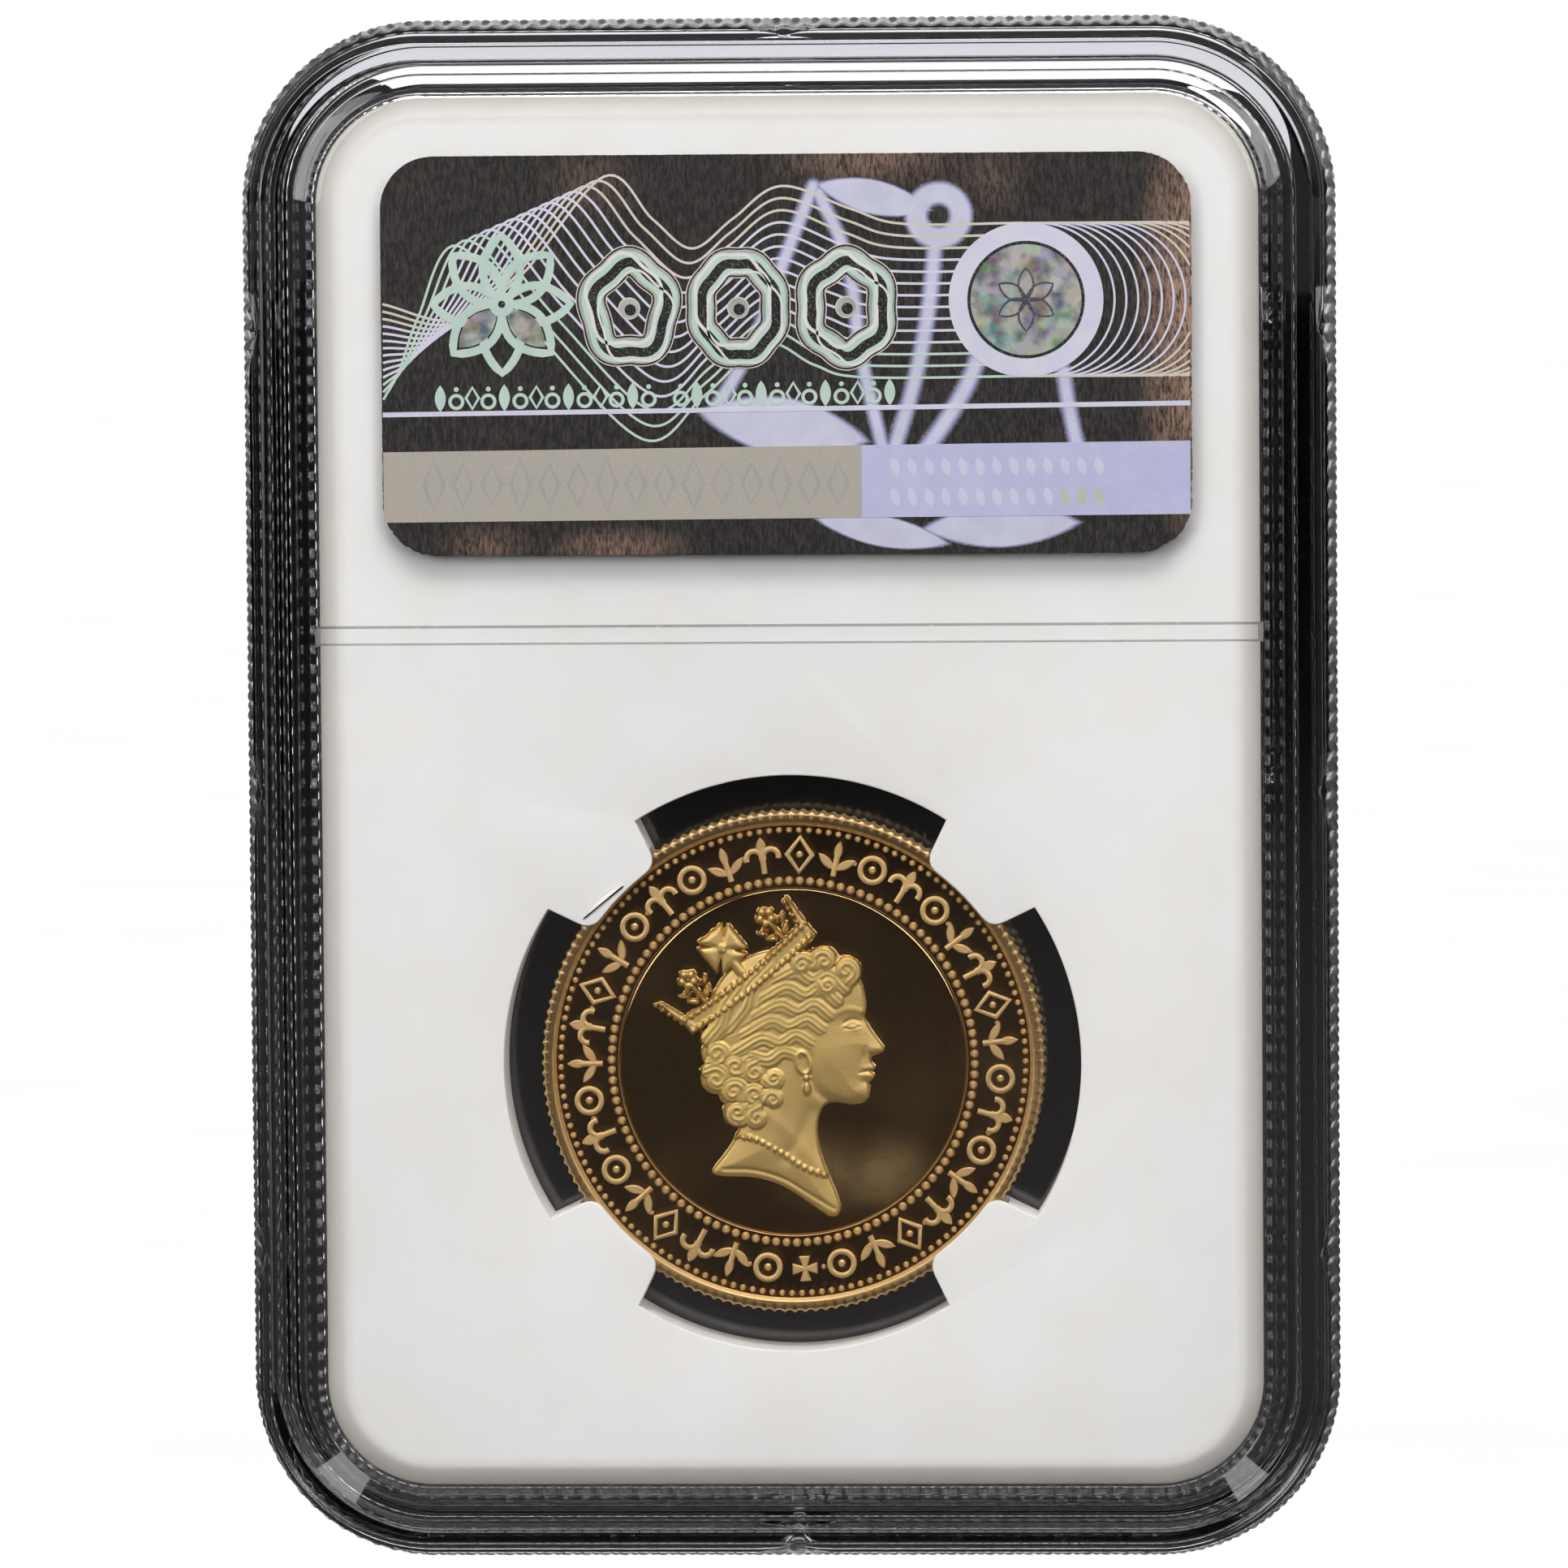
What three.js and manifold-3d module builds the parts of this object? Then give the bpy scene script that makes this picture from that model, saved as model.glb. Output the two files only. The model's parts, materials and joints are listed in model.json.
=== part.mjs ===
// A graded coin slab: a two-part coin sealed for good in a flat, clear plastic case.
//
// Two clear shells meet at the mid-plane, where a tongue on the rear shell is welded into a groove in
// the front one. Between their windows lies a soft white holder. Four slotted prongs in its opening
// grip the coin by its edge, and a paper label sits in its front pocket. A foil label is stuck to the
// rear window. The coin can be turned about its own axis between the prongs, and nothing else moves.
//
// Every piece is drawn lying flat in slab coordinates, in millimetres: x across the slab, y up it from
// the bottom edge, and z through it from the mid-plane, out of the rear window. The last group stands
// the slab up, so that its height runs along +Z and the rear window faces -Y.

import * as THREE from "three";
import { mergeVertices } from "three/addons/utils/BufferGeometryUtils.js";
import Module from "manifold-3d";

const wasm = await Module();
wasm.setup();

// ---- Case ----
const SLAB_WIDTH = 61.5;
const SLAB_HEIGHT = 86.9;
const HALF_THICKNESS = 4;
const CORNER_RADIUS = 10.3;
const CORNER_STEPS = 8;

const SCALLOP_COUNT = 256;
const SCALLOP_DEPTH = 0.16;
const WALL_DRAFT = 0.35;
const SCALLOP_TOP = 2.6;
const BEVEL_TOP = 3.8;
const BEVEL_START_INSET = 0.5;
const BEVEL_END_INSET = 1.15;

const RIDGE_OUTER_INSET = 1.3;
const RIDGE_INNER_INSET = 2.2;
const WINDOW_FOOT_INSET = 3.85;
const WINDOW_OUTSIDE = 3.1;
const WINDOW_INSIDE = 2.1;
const CAVITY_INSET = 4.1;

const TONGUE_OUTER_INSET = 1.6;
const TONGUE_INNER_INSET = 2.4;
const TONGUE_HEIGHT = 1;
const GROOVE_CLEARANCE = 0.1;

const NOTCH_LENGTH = 4.5;
const NOTCH_DEPTH = 0.5;
const SIDE_NOTCH_SPACING = 26;

const RIB_CENTRE_Y = 52.45;
const RIB_WIDTH = 1.1;
const RIB_HEIGHT = 0.3;

// ---- White holder ----
const HOLDER_CLEARANCE = 0.15;
const HOLDER_HALF_THICKNESS = 2;
const HOLDER_EDGE_STEP = 1.1;
const HOLDER_EDGE_HALF_THICKNESS = 1.5;

const COIN_CENTRE_Y = 28.2;
const APERTURE_RADIUS = 16.25;
const PRONG_TIP_RADIUS = 13.5;
const PRONG_ROOT_HALF_ANGLE = THREE.MathUtils.degToRad(12.4);
const PRONG_TIP_HALF_ANGLE = THREE.MathUtils.degToRad(11);
const PRONG_CORNER = 0.9;
const SLOT_RADIUS = 14.5;
const SLOT_HALF_HEIGHT = 1.4;

// ---- Labels ----
const LABEL_CENTRE_Y = 68.1;
const LABEL_CORNER_RADIUS = 3;
const CARD_WIDTH = 46.5;
const CARD_HEIGHT = 23;
const CARD_THICKNESS = 0.3;
const POCKET_MARGIN = 0.3;
const POCKET_DEPTH = 0.4;
const FOIL_WIDTH = 45.4;
const FOIL_HEIGHT = 22.4;
const FOIL_THICKNESS = 0.15;

// ---- Coin ----
const COIN_RADIUS = 14.2;
const COIN_HALF_THICKNESS = 1.25;
const COIN_EDGE_CHAMFER = 0.12;
const RIM_INNER_RADIUS = 13.45;
const RIM_SLOPE = 0.15;
const RING_FIELD = 1;
const CENTRE_FIELD = 0.95;
const SEAM_RADIUS = 9.8;
const SEAM_GAP = 0.03;
const SEAM_KEY = 0.25;
const COIN_STEPS = 72;
const RELIEF_TOP = 1.2;

// Carries (x, y, z) to (x, -z, y). It stands the slab up, and it lays a turned piece's axis along z.
const QUARTER_TURN = new THREE.Matrix4().set(1, 0, 0, 0, 0, 0, -1, 0, 0, 1, 0, 0, 0, 0, 0, 1);

// Carries (x, y, z) to (-x, y, -z): the rear of the slab swings round to the front.
const HALF_TURN = new THREE.Matrix4().set(-1, 0, 0, 0, 0, 1, 0, 0, 0, 0, -1, 0, 0, 0, 0, 1);

// ---- The slab's outline, measured from the middle of the bottom edge, anticlockwise ----

const HALF_FLAT_WIDTH = SLAB_WIDTH / 2 - CORNER_RADIUS;
const HALF_FLAT_HEIGHT = SLAB_HEIGHT / 2 - CORNER_RADIUS;
const CORNER_ARC = (Math.PI / 2) * CORNER_RADIUS;
const OUTLINE_LENGTH = 4 * (HALF_FLAT_WIDTH + HALF_FLAT_HEIGHT + CORNER_ARC);

// The stretches of the outline: straights give where they start, arcs give their first angle.
const OUTLINE = [
  { length: HALF_FLAT_WIDTH, x: 0, y: -HALF_FLAT_HEIGHT, angle: -Math.PI / 2 },
  { length: CORNER_ARC, x: HALF_FLAT_WIDTH, y: -HALF_FLAT_HEIGHT, angle: -Math.PI / 2, arc: true },
  { length: 2 * HALF_FLAT_HEIGHT, x: HALF_FLAT_WIDTH, y: -HALF_FLAT_HEIGHT, angle: 0 },
  { length: CORNER_ARC, x: HALF_FLAT_WIDTH, y: HALF_FLAT_HEIGHT, angle: 0, arc: true },
  { length: 2 * HALF_FLAT_WIDTH, x: HALF_FLAT_WIDTH, y: HALF_FLAT_HEIGHT, angle: Math.PI / 2 },
  { length: CORNER_ARC, x: -HALF_FLAT_WIDTH, y: HALF_FLAT_HEIGHT, angle: Math.PI / 2, arc: true },
  { length: 2 * HALF_FLAT_HEIGHT, x: -HALF_FLAT_WIDTH, y: HALF_FLAT_HEIGHT, angle: Math.PI },
  { length: CORNER_ARC, x: -HALF_FLAT_WIDTH, y: -HALF_FLAT_HEIGHT, angle: Math.PI, arc: true },
  { length: HALF_FLAT_WIDTH, x: -HALF_FLAT_WIDTH, y: -HALF_FLAT_HEIGHT, angle: -Math.PI / 2 },
];

// A station is a place on the outline: the centre that it is set out from, its outward normal, and its
// bite, which is 1 where a ring through it is pushed in, -1 where it is pushed out and 0 elsewhere.
function stationAt(distance, bite = 0) {
  let start = 0;
  let index = 0;
  while (index < OUTLINE.length - 1 && distance > start + OUTLINE[index].length) {
    start += OUTLINE[index].length;
    index += 1;
  }
  const stretch = OUTLINE[index];
  const along = distance - start;
  const angle = stretch.arc ? stretch.angle + along / CORNER_RADIUS : stretch.angle;
  const run = stretch.arc ? 0 : along;
  return {
    distance,
    bite,
    x: stretch.x - Math.sin(stretch.angle) * run,
    y: stretch.y + Math.cos(stretch.angle) * run,
    normalX: Math.cos(angle),
    normalY: Math.sin(angle),
  };
}

// Corner stations only: every straight runs from arc to arc.
function plainStations() {
  const stations = [];
  let start = 0;
  for (const stretch of OUTLINE) {
    if (stretch.arc) {
      for (let step = 0; step <= CORNER_STEPS; step += 1) {
        stations.push(stationAt(start + (stretch.length * step) / CORNER_STEPS));
      }
    }
    start += stretch.length;
  }
  return stations;
}

// The middles of the finger notches: three on each long side, one at the top and one at the bottom.
function notchCentres() {
  const rightMiddle = HALF_FLAT_WIDTH + CORNER_ARC + HALF_FLAT_HEIGHT;
  const leftMiddle = OUTLINE_LENGTH - rightMiddle;
  const sides = [rightMiddle, leftMiddle].flatMap((middle) => [
    middle - SIDE_NOTCH_SPACING,
    middle,
    middle + SIDE_NOTCH_SPACING,
  ]);
  return [0, OUTLINE_LENGTH / 2, ...sides];
}

// Corner stations, with three more for each notch: its two ends and its deepest point.
function notchedStations() {
  const stations = plainStations();
  for (const centre of notchCentres()) {
    for (const offset of [-NOTCH_LENGTH / 2, 0, NOTCH_LENGTH / 2]) {
      const distance = (centre + offset + OUTLINE_LENGTH) % OUTLINE_LENGTH;
      stations.push(stationAt(distance, offset === 0 ? 1 : 0));
    }
  }
  return stations.sort((a, b) => a.distance - b.distance);
}

// One station on each crest and in each valley of the scalloped wall.
function scallopStations() {
  const stations = [];
  for (let index = 0; index < 2 * SCALLOP_COUNT; index += 1) {
    const bite = index % 2 === 0 ? -1 : 1;
    stations.push(stationAt((OUTLINE_LENGTH * index) / (2 * SCALLOP_COUNT), bite));
  }
  return stations;
}

const PLAIN = plainStations();
const NOTCHED = notchedStations();
const SCALLOPED = scallopStations();

// A closed ring of points, inset from the outline and at one height above the mid-plane. Its stations'
// bites move it by biteDepth.
function loop(inset, z, stations = PLAIN, biteDepth = 0) {
  return stations.map((station) => {
    const reach = CORNER_RADIUS - inset - biteDepth * station.bite;
    return {
      place: station.distance,
      x: station.x + station.normalX * reach,
      y: station.y + station.normalY * reach + SLAB_HEIGHT / 2,
      z,
    };
  });
}

// ---- Solids ----

// Joins two rings with a band of triangles, whatever the number of points on each.
function bandBetween(upper, lower, triangles) {
  const placeOf = (ring, index) =>
    index < ring.length ? ring[index].place : ring[index - ring.length].place + OUTLINE_LENGTH;
  let i = 0;
  let j = 0;
  while (i < upper.length || j < lower.length) {
    const a = upper[i % upper.length];
    const b = lower[j % lower.length];
    const upperNext = i < upper.length ? placeOf(upper, i + 1) : Infinity;
    const lowerNext = j < lower.length ? placeOf(lower, j + 1) : Infinity;
    if (lowerNext <= upperNext) {
      triangles.push([a, b, lower[(j + 1) % lower.length]]);
      j += 1;
    } else {
      triangles.push([a, b, upper[(i + 1) % upper.length]]);
      i += 1;
    }
  }
}

// A flat lid over a convex ring.
function lid(ring, triangles, reversed) {
  for (let index = 1; index < ring.length - 1; index += 1) {
    const [a, b, c] = [ring[0], ring[index], ring[index + 1]];
    triangles.push(reversed ? [a, c, b] : [a, b, c]);
  }
}

// A closed body whose surface runs from a lid on the first ring, ring by ring, to a lid on the last.
function bodyOfRings(rings) {
  const triangles = [];
  lid(rings[0], triangles, false);
  for (let index = 0; index < rings.length - 1; index += 1) {
    bandBetween(rings[index], rings[index + 1], triangles);
  }
  lid(rings.at(-1), triangles, true);
  const positions = triangles.flat().flatMap((point) => [point.x, point.y, point.z]);
  const geometry = new THREE.BufferGeometry();
  geometry.setAttribute("position", new THREE.Float32BufferAttribute(positions, 3));
  return geometry;
}

function solidOf(geometry) {
  const bare = geometry.clone();
  bare.deleteAttribute("normal");
  bare.deleteAttribute("uv");
  const merged = mergeVertices(bare, 1e-5);
  const mesh = new wasm.Mesh({
    numProp: 3,
    vertProperties: new Float32Array(merged.attributes.position.array),
    triVerts: new Uint32Array(merged.index.array),
  });
  return new wasm.Manifold(mesh);
}

function geometryOf(solid) {
  const mesh = solid.getMesh();
  const geometry = new THREE.BufferGeometry();
  geometry.setAttribute("position", new THREE.BufferAttribute(mesh.vertProperties, 3));
  geometry.setIndex(new THREE.BufferAttribute(mesh.triVerts, 1));
  return geometry.toNonIndexed();
}

function roundedRectangle(width, height, radius) {
  const shape = new THREE.Shape();
  const flatX = width / 2 - radius;
  const flatY = height / 2 - radius;
  shape.moveTo(width / 2, -flatY);
  shape.absarc(flatX, flatY, radius, 0, Math.PI / 2);
  shape.absarc(-flatX, flatY, radius, Math.PI / 2, Math.PI);
  shape.absarc(-flatX, -flatY, radius, Math.PI, 1.5 * Math.PI);
  shape.absarc(flatX, -flatY, radius, 1.5 * Math.PI, 2 * Math.PI);
  return shape;
}

// A flat plate of a shape, from one height to another.
function plate(shape, bottom, top, curveSegments = 4) {
  const geometry = new THREE.ExtrudeGeometry(shape, {
    depth: top - bottom,
    bevelEnabled: false,
    curveSegments,
  });
  return geometry.translate(0, 0, bottom);
}

function material(color, roughness, metalness, opacity = 1) {
  return new THREE.MeshStandardMaterial({
    color,
    roughness,
    metalness,
    opacity,
    transparent: opacity < 1,
  });
}

function namedMesh(name, geometry, surface) {
  geometry.computeVertexNormals();
  const mesh = new THREE.Mesh(geometry, surface);
  mesh.name = name;
  return mesh;
}

// ---- The clear shells ----

// Half of the case, its window up: from the window's outside, over the stacking ridge, down the
// scalloped wall, across the weld face and up the cavity wall to the window's inside.
function halfCase(weldRings) {
  const rings = [
    loop(WINDOW_FOOT_INSET, WINDOW_OUTSIDE),
    loop(RIDGE_INNER_INSET, HALF_THICKNESS),
    loop(RIDGE_OUTER_INSET, HALF_THICKNESS),
    loop(BEVEL_END_INSET, BEVEL_TOP, NOTCHED),
    loop(BEVEL_START_INSET, SCALLOP_TOP, NOTCHED, NOTCH_DEPTH),
    loop(WALL_DRAFT + SCALLOP_DEPTH / 2, SCALLOP_TOP, SCALLOPED, SCALLOP_DEPTH / 2),
    loop(SCALLOP_DEPTH / 2, 0, SCALLOPED, SCALLOP_DEPTH / 2),
    ...weldRings,
    loop(CAVITY_INSET, 0),
    loop(CAVITY_INSET, WINDOW_INSIDE),
  ];
  return solidOf(bodyOfRings(rings)).add(solidOf(windowRib()));
}

// The low rib across the window, between the label and the coin.
function windowRib() {
  const length = SLAB_WIDTH - WINDOW_FOOT_INSET - RIDGE_INNER_INSET;
  const sunk = (WINDOW_OUTSIDE - WINDOW_INSIDE) / 2;
  const rib = new THREE.BoxGeometry(length, RIB_WIDTH, RIB_HEIGHT + sunk);
  return rib.translate(0, RIB_CENTRE_Y, WINDOW_OUTSIDE + (RIB_HEIGHT - sunk) / 2);
}

// The four rings of a tongue (below the mid-plane) or a groove (above it) round the weld face.
function weldRings(outerInset, innerInset, end) {
  return [
    loop(outerInset, 0),
    loop(outerInset, end),
    loop(innerInset, end),
    loop(innerInset, 0),
  ];
}

function rearShell() {
  const tongue = weldRings(TONGUE_OUTER_INSET, TONGUE_INNER_INSET, -TONGUE_HEIGHT);
  return namedMesh("rear_shell", geometryOf(halfCase(tongue)), material("#dfe3e8", 0.08, 0, 0.3));
}

function frontShell() {
  const groove = weldRings(
    TONGUE_OUTER_INSET - GROOVE_CLEARANCE,
    TONGUE_INNER_INSET + GROOVE_CLEARANCE,
    TONGUE_HEIGHT + GROOVE_CLEARANCE,
  );
  const geometry = geometryOf(halfCase(groove)).applyMatrix4(HALF_TURN);
  return namedMesh("front_shell", geometry, material("#dfe3e8", 0.08, 0, 0.3));
}

// ---- The white holder ----

function polar(radius, angle) {
  return new THREE.Vector2(radius * Math.cos(angle), radius * Math.sin(angle));
}

// The opening round the coin: four gaps, with a prong standing in between them at each diagonal. Each
// turn of the loop draws one gap's outer arc and then the prong after it.
function apertureShape() {
  const shape = new THREE.Shape();
  const tipReach = PRONG_TIP_HALF_ANGLE - PRONG_CORNER / PRONG_TIP_RADIUS;
  for (let quarter = 0; quarter < 4; quarter += 1) {
    const prong = (quarter + 0.5) * (Math.PI / 2);
    const gapStart = prong - Math.PI / 2 + PRONG_ROOT_HALF_ANGLE;
    const near = prongSide(prong, -1);
    const far = prongSide(prong, 1);
    shape.absarc(0, 0, APERTURE_RADIUS, gapStart, prong - PRONG_ROOT_HALF_ANGLE);
    shape.lineTo(near.above.x, near.above.y);
    shape.quadraticCurveTo(near.corner.x, near.corner.y, near.onTip.x, near.onTip.y);
    shape.absarc(0, 0, PRONG_TIP_RADIUS, prong - tipReach, prong + tipReach);
    shape.quadraticCurveTo(far.corner.x, far.corner.y, far.above.x, far.above.y);
  }
  return shape;
}

// One side of a prong: its sharp corner, and where the rounding leaves the side and meets the tip.
function prongSide(prong, side) {
  const root = polar(APERTURE_RADIUS, prong + side * PRONG_ROOT_HALF_ANGLE);
  const corner = polar(PRONG_TIP_RADIUS, prong + side * PRONG_TIP_HALF_ANGLE);
  const above = corner.clone().lerp(root, PRONG_CORNER / corner.distanceTo(root));
  const tipAngle = PRONG_TIP_HALF_ANGLE - PRONG_CORNER / PRONG_TIP_RADIUS;
  return { corner, above, onTip: polar(PRONG_TIP_RADIUS, prong + side * tipAngle) };
}

function coinHolder() {
  const edge = CAVITY_INSET + HOLDER_CLEARANCE;
  const blank = bodyOfRings([
    loop(edge + HOLDER_EDGE_STEP, HOLDER_HALF_THICKNESS),
    loop(edge, HOLDER_EDGE_HALF_THICKNESS),
    loop(edge, -HOLDER_EDGE_HALF_THICKNESS),
    loop(edge + HOLDER_EDGE_STEP, -HOLDER_HALF_THICKNESS),
  ]);
  const beyond = HOLDER_HALF_THICKNESS + 1;
  const aperture = plate(apertureShape(), -beyond, beyond).translate(0, COIN_CENTRE_Y, 0);
  const slot = new THREE.CylinderGeometry(SLOT_RADIUS, SLOT_RADIUS, 2 * SLOT_HALF_HEIGHT, COIN_STEPS)
    .applyMatrix4(QUARTER_TURN)
    .translate(0, COIN_CENTRE_Y, 0);
  const pocketShape = roundedRectangle(
    CARD_WIDTH + 2 * POCKET_MARGIN,
    CARD_HEIGHT + 2 * POCKET_MARGIN,
    LABEL_CORNER_RADIUS,
  );
  const pocket = plate(pocketShape, -beyond, POCKET_DEPTH - HOLDER_HALF_THICKNESS)
    .translate(0, LABEL_CENTRE_Y, 0);
  const holder = solidOf(blank)
    .subtract(solidOf(aperture))
    .subtract(solidOf(slot))
    .subtract(solidOf(pocket));
  return namedMesh("coin_holder", geometryOf(holder), material("#e6e5e2", 0.65, 0));
}

// ---- The labels ----

function frontLabel() {
  const shape = roundedRectangle(CARD_WIDTH, CARD_HEIGHT, LABEL_CORNER_RADIUS);
  const floor = POCKET_DEPTH - HOLDER_HALF_THICKNESS;
  const card = plate(shape, floor - CARD_THICKNESS, floor).translate(0, LABEL_CENTRE_Y, 0);
  return namedMesh("front_label", card, material("#e9e4d6", 0.6, 0));
}

function rearHologramLabel() {
  const shape = roundedRectangle(FOIL_WIDTH, FOIL_HEIGHT, LABEL_CORNER_RADIUS);
  const foil = plate(shape, WINDOW_OUTSIDE, WINDOW_OUTSIDE + FOIL_THICKNESS)
    .translate(0, LABEL_CENTRE_Y, 0);
  return namedMesh("rear_hologram_label", foil, material("#4a3d36", 0.3, 0.8));
}

// ---- The coin ----

// A body turned about the coin's axis, from half of its profile as (radius, height) pairs. The other
// half is its mirror image in the mid-plane. The first point is on the mid-plane; the last is on the
// axis, or on the mid-plane again where the body is a ring.
function turned(upperHalf) {
  const upper = upperHalf.map(([radius, height]) => new THREE.Vector2(radius, height));
  const lower = upperHalf.map(([radius, height]) => new THREE.Vector2(radius, -height)).reverse();
  const isRing = upper.at(-1).x > 0;
  const profile = isRing ? [...upper, ...lower.slice(1)] : [...lower, ...upper.slice(1)];
  const geometry = new THREE.LatheGeometry(profile, COIN_STEPS).applyMatrix4(QUARTER_TURN);
  return geometry.translate(0, COIN_CENTRE_Y, 0);
}

// The outer ring: from the middle of its edge, over the raised rim and the field, to the seam, where a
// ridge round its bore locks into the centre's groove.
function coinRing() {
  const bore = SEAM_RADIUS + SEAM_GAP;
  const ring = turned([
    [COIN_RADIUS, 0],
    [COIN_RADIUS, COIN_HALF_THICKNESS - COIN_EDGE_CHAMFER],
    [COIN_RADIUS - COIN_EDGE_CHAMFER, COIN_HALF_THICKNESS],
    [RIM_INNER_RADIUS, COIN_HALF_THICKNESS],
    [RIM_INNER_RADIUS - RIM_SLOPE, RING_FIELD],
    [bore, RING_FIELD],
    [bore, SEAM_KEY],
    [bore - SEAM_KEY, 0],
  ]);
  return namedMesh("coin_ring", ring, material("#b9924f", 0.35, 1));
}

// The middle of the coin, with its groove and, on the rear face, a plain bust in low relief.
function coinCentre() {
  const disc = turned([
    [SEAM_RADIUS - SEAM_KEY, 0],
    [SEAM_RADIUS, SEAM_KEY],
    [SEAM_RADIUS, CENTRE_FIELD],
    [0, CENTRE_FIELD],
  ]);
  const reliefs = bustShapes().map((shape) =>
    solidOf(plate(shape, CENTRE_FIELD / 2, RELIEF_TOP).translate(0, COIN_CENTRE_Y, 0)),
  );
  const centre = reliefs.reduce((solid, relief) => solid.add(relief), solidOf(disc));
  return namedMesh("coin_centre", geometryOf(centre), material("#c79f57", 0.3, 1));
}

// Head, neck with a pointed truncation, and a tilted crown, each a plain outline.
function bustShapes() {
  const head = new THREE.Shape();
  head.absellipse(0.2, 1, 3.6, 4.3, 0, 2 * Math.PI, false, 0.1);
  const neck = new THREE.Shape();
  neck.moveTo(-2.2, -1.5);
  neck.quadraticCurveTo(-1.8, -3.8, -3.6, -5.6);
  neck.quadraticCurveTo(-0.4, -5.4, 2.4, -8);
  neck.quadraticCurveTo(2.2, -4.4, 2, -2);
  neck.closePath();
  const crown = new THREE.Shape();
  crown.moveTo(-4.1, 2.2);
  crown.lineTo(1.2, 5.6);
  crown.lineTo(0.2, 7.4);
  crown.lineTo(-1.9, 5.6);
  crown.lineTo(-3.3, 6.4);
  crown.lineTo(-4.1, 4.2);
  crown.lineTo(-6.2, 3.6);
  crown.closePath();
  return [head, neck, crown];
}

// ---- The slab, stood up ----

const slab = new THREE.Group();
slab.name = "coin_slab";
slab.add(
  rearShell(),
  frontShell(),
  coinHolder(),
  coinRing(),
  coinCentre(),
  frontLabel(),
  rearHologramLabel(),
);
slab.matrixAutoUpdate = false;
slab.matrix.copy(QUARTER_TURN);

export default slab;
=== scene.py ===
"""The looks of the graded coin slab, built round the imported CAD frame.

Every piece is drawn flat in slab coordinates, in millimetres: x across the slab, y up it from the
bottom edge, and z through it from the mid-plane, out of the rear window. `add_piece` then stands it up
in the frame, in metres: the slab's height runs along +Z and its rear window faces -Y.
"""

import json
from math import atan2, cos, hypot, pi, radians, sin, tan

import bmesh
import bpy
import numpy as np
from mathutils import Matrix, Vector

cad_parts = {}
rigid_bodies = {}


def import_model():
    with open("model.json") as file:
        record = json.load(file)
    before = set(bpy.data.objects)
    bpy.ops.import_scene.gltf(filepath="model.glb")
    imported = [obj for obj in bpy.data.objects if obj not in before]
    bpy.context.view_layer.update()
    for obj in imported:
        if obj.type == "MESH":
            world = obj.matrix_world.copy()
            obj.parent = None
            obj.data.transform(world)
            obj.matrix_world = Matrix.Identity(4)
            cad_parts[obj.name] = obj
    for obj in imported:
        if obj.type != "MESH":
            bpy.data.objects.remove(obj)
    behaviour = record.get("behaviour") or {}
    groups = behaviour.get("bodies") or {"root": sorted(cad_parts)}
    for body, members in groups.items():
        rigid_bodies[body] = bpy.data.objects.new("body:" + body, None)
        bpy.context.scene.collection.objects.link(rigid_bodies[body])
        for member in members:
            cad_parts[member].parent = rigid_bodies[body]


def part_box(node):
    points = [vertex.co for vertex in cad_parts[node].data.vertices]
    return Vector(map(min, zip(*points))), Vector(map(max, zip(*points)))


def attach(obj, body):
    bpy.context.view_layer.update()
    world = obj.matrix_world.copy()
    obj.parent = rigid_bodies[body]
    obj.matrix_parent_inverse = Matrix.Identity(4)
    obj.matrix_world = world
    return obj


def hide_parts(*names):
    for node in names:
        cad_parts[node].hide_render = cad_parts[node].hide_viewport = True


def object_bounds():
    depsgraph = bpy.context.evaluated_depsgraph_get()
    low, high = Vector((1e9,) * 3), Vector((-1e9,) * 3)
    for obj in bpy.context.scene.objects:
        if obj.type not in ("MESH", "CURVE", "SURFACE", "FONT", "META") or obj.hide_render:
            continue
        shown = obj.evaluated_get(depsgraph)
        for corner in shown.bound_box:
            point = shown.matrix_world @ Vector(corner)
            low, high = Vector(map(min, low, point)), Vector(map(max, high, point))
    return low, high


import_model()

CAD_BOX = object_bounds()
MM = 0.001
SLAB_TO_WORLD = Matrix(((MM, 0, 0, 0), (0, 0, -MM, 0), (0, MM, 0, 0), (0, 0, 0, 1)))


# ---- Sizes, from the frame where it has them ----

class NodeBox:
    """A CAD node's box in slab coordinates, in millimetres."""

    def __init__(self, node):
        low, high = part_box(node)
        self.front, self.rear = -high.y / MM, -low.y / MM
        self.width, self.height = high.x / MM - low.x / MM, high.z / MM - low.z / MM
        self.centre_y = (high.z / MM + low.z / MM) / 2


SHELL = NodeBox("rear_shell")
HOLDER = NodeBox("coin_holder")
RING = NodeBox("coin_ring")
CARD = NodeBox("front_label")
FOIL = NodeBox("rear_hologram_label")

HALF_WIDTH = SHELL.width / 2
HALF_HEIGHT = SHELL.height / 2
RIDGE_TOP = SHELL.rear
COIN_Y = RING.centre_y
COIN_RADIUS = RING.width / 2
RIM_TOP = RING.rear

# The shells. An inset is a distance in from the outline.
CORNER_RADIUS = 10.3
OUTLINE_POINTS = 2048
SCALLOP_COUNT = 256
SCALLOP_DEPTH = 0.16
SCALLOP_TOP = 2.6
WALL_DRAFT = 0.40
BEVEL_START_INSET = 0.5
BEVEL_END_INSET = 1.15
BEVEL_TOP = 3.8
RIDGE_OUTER_INSET = 1.3
RIDGE_INNER_INSET = 2.2
WINDOW_FOOT_INSET = 3.85
WINDOW_RING_INSET = 4.15
CAVITY_INSET = 4.1
TONGUE_OUTER_INSET = 1.6
TONGUE_INNER_INSET = 2.4
TONGUE_HEIGHT = 1.0
GROOVE_CLEARANCE = 0.1
NOTCH_LENGTH = 4.5
NOTCH_DEPTH = 0.5
SIDE_NOTCH_SPACING = 26
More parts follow.
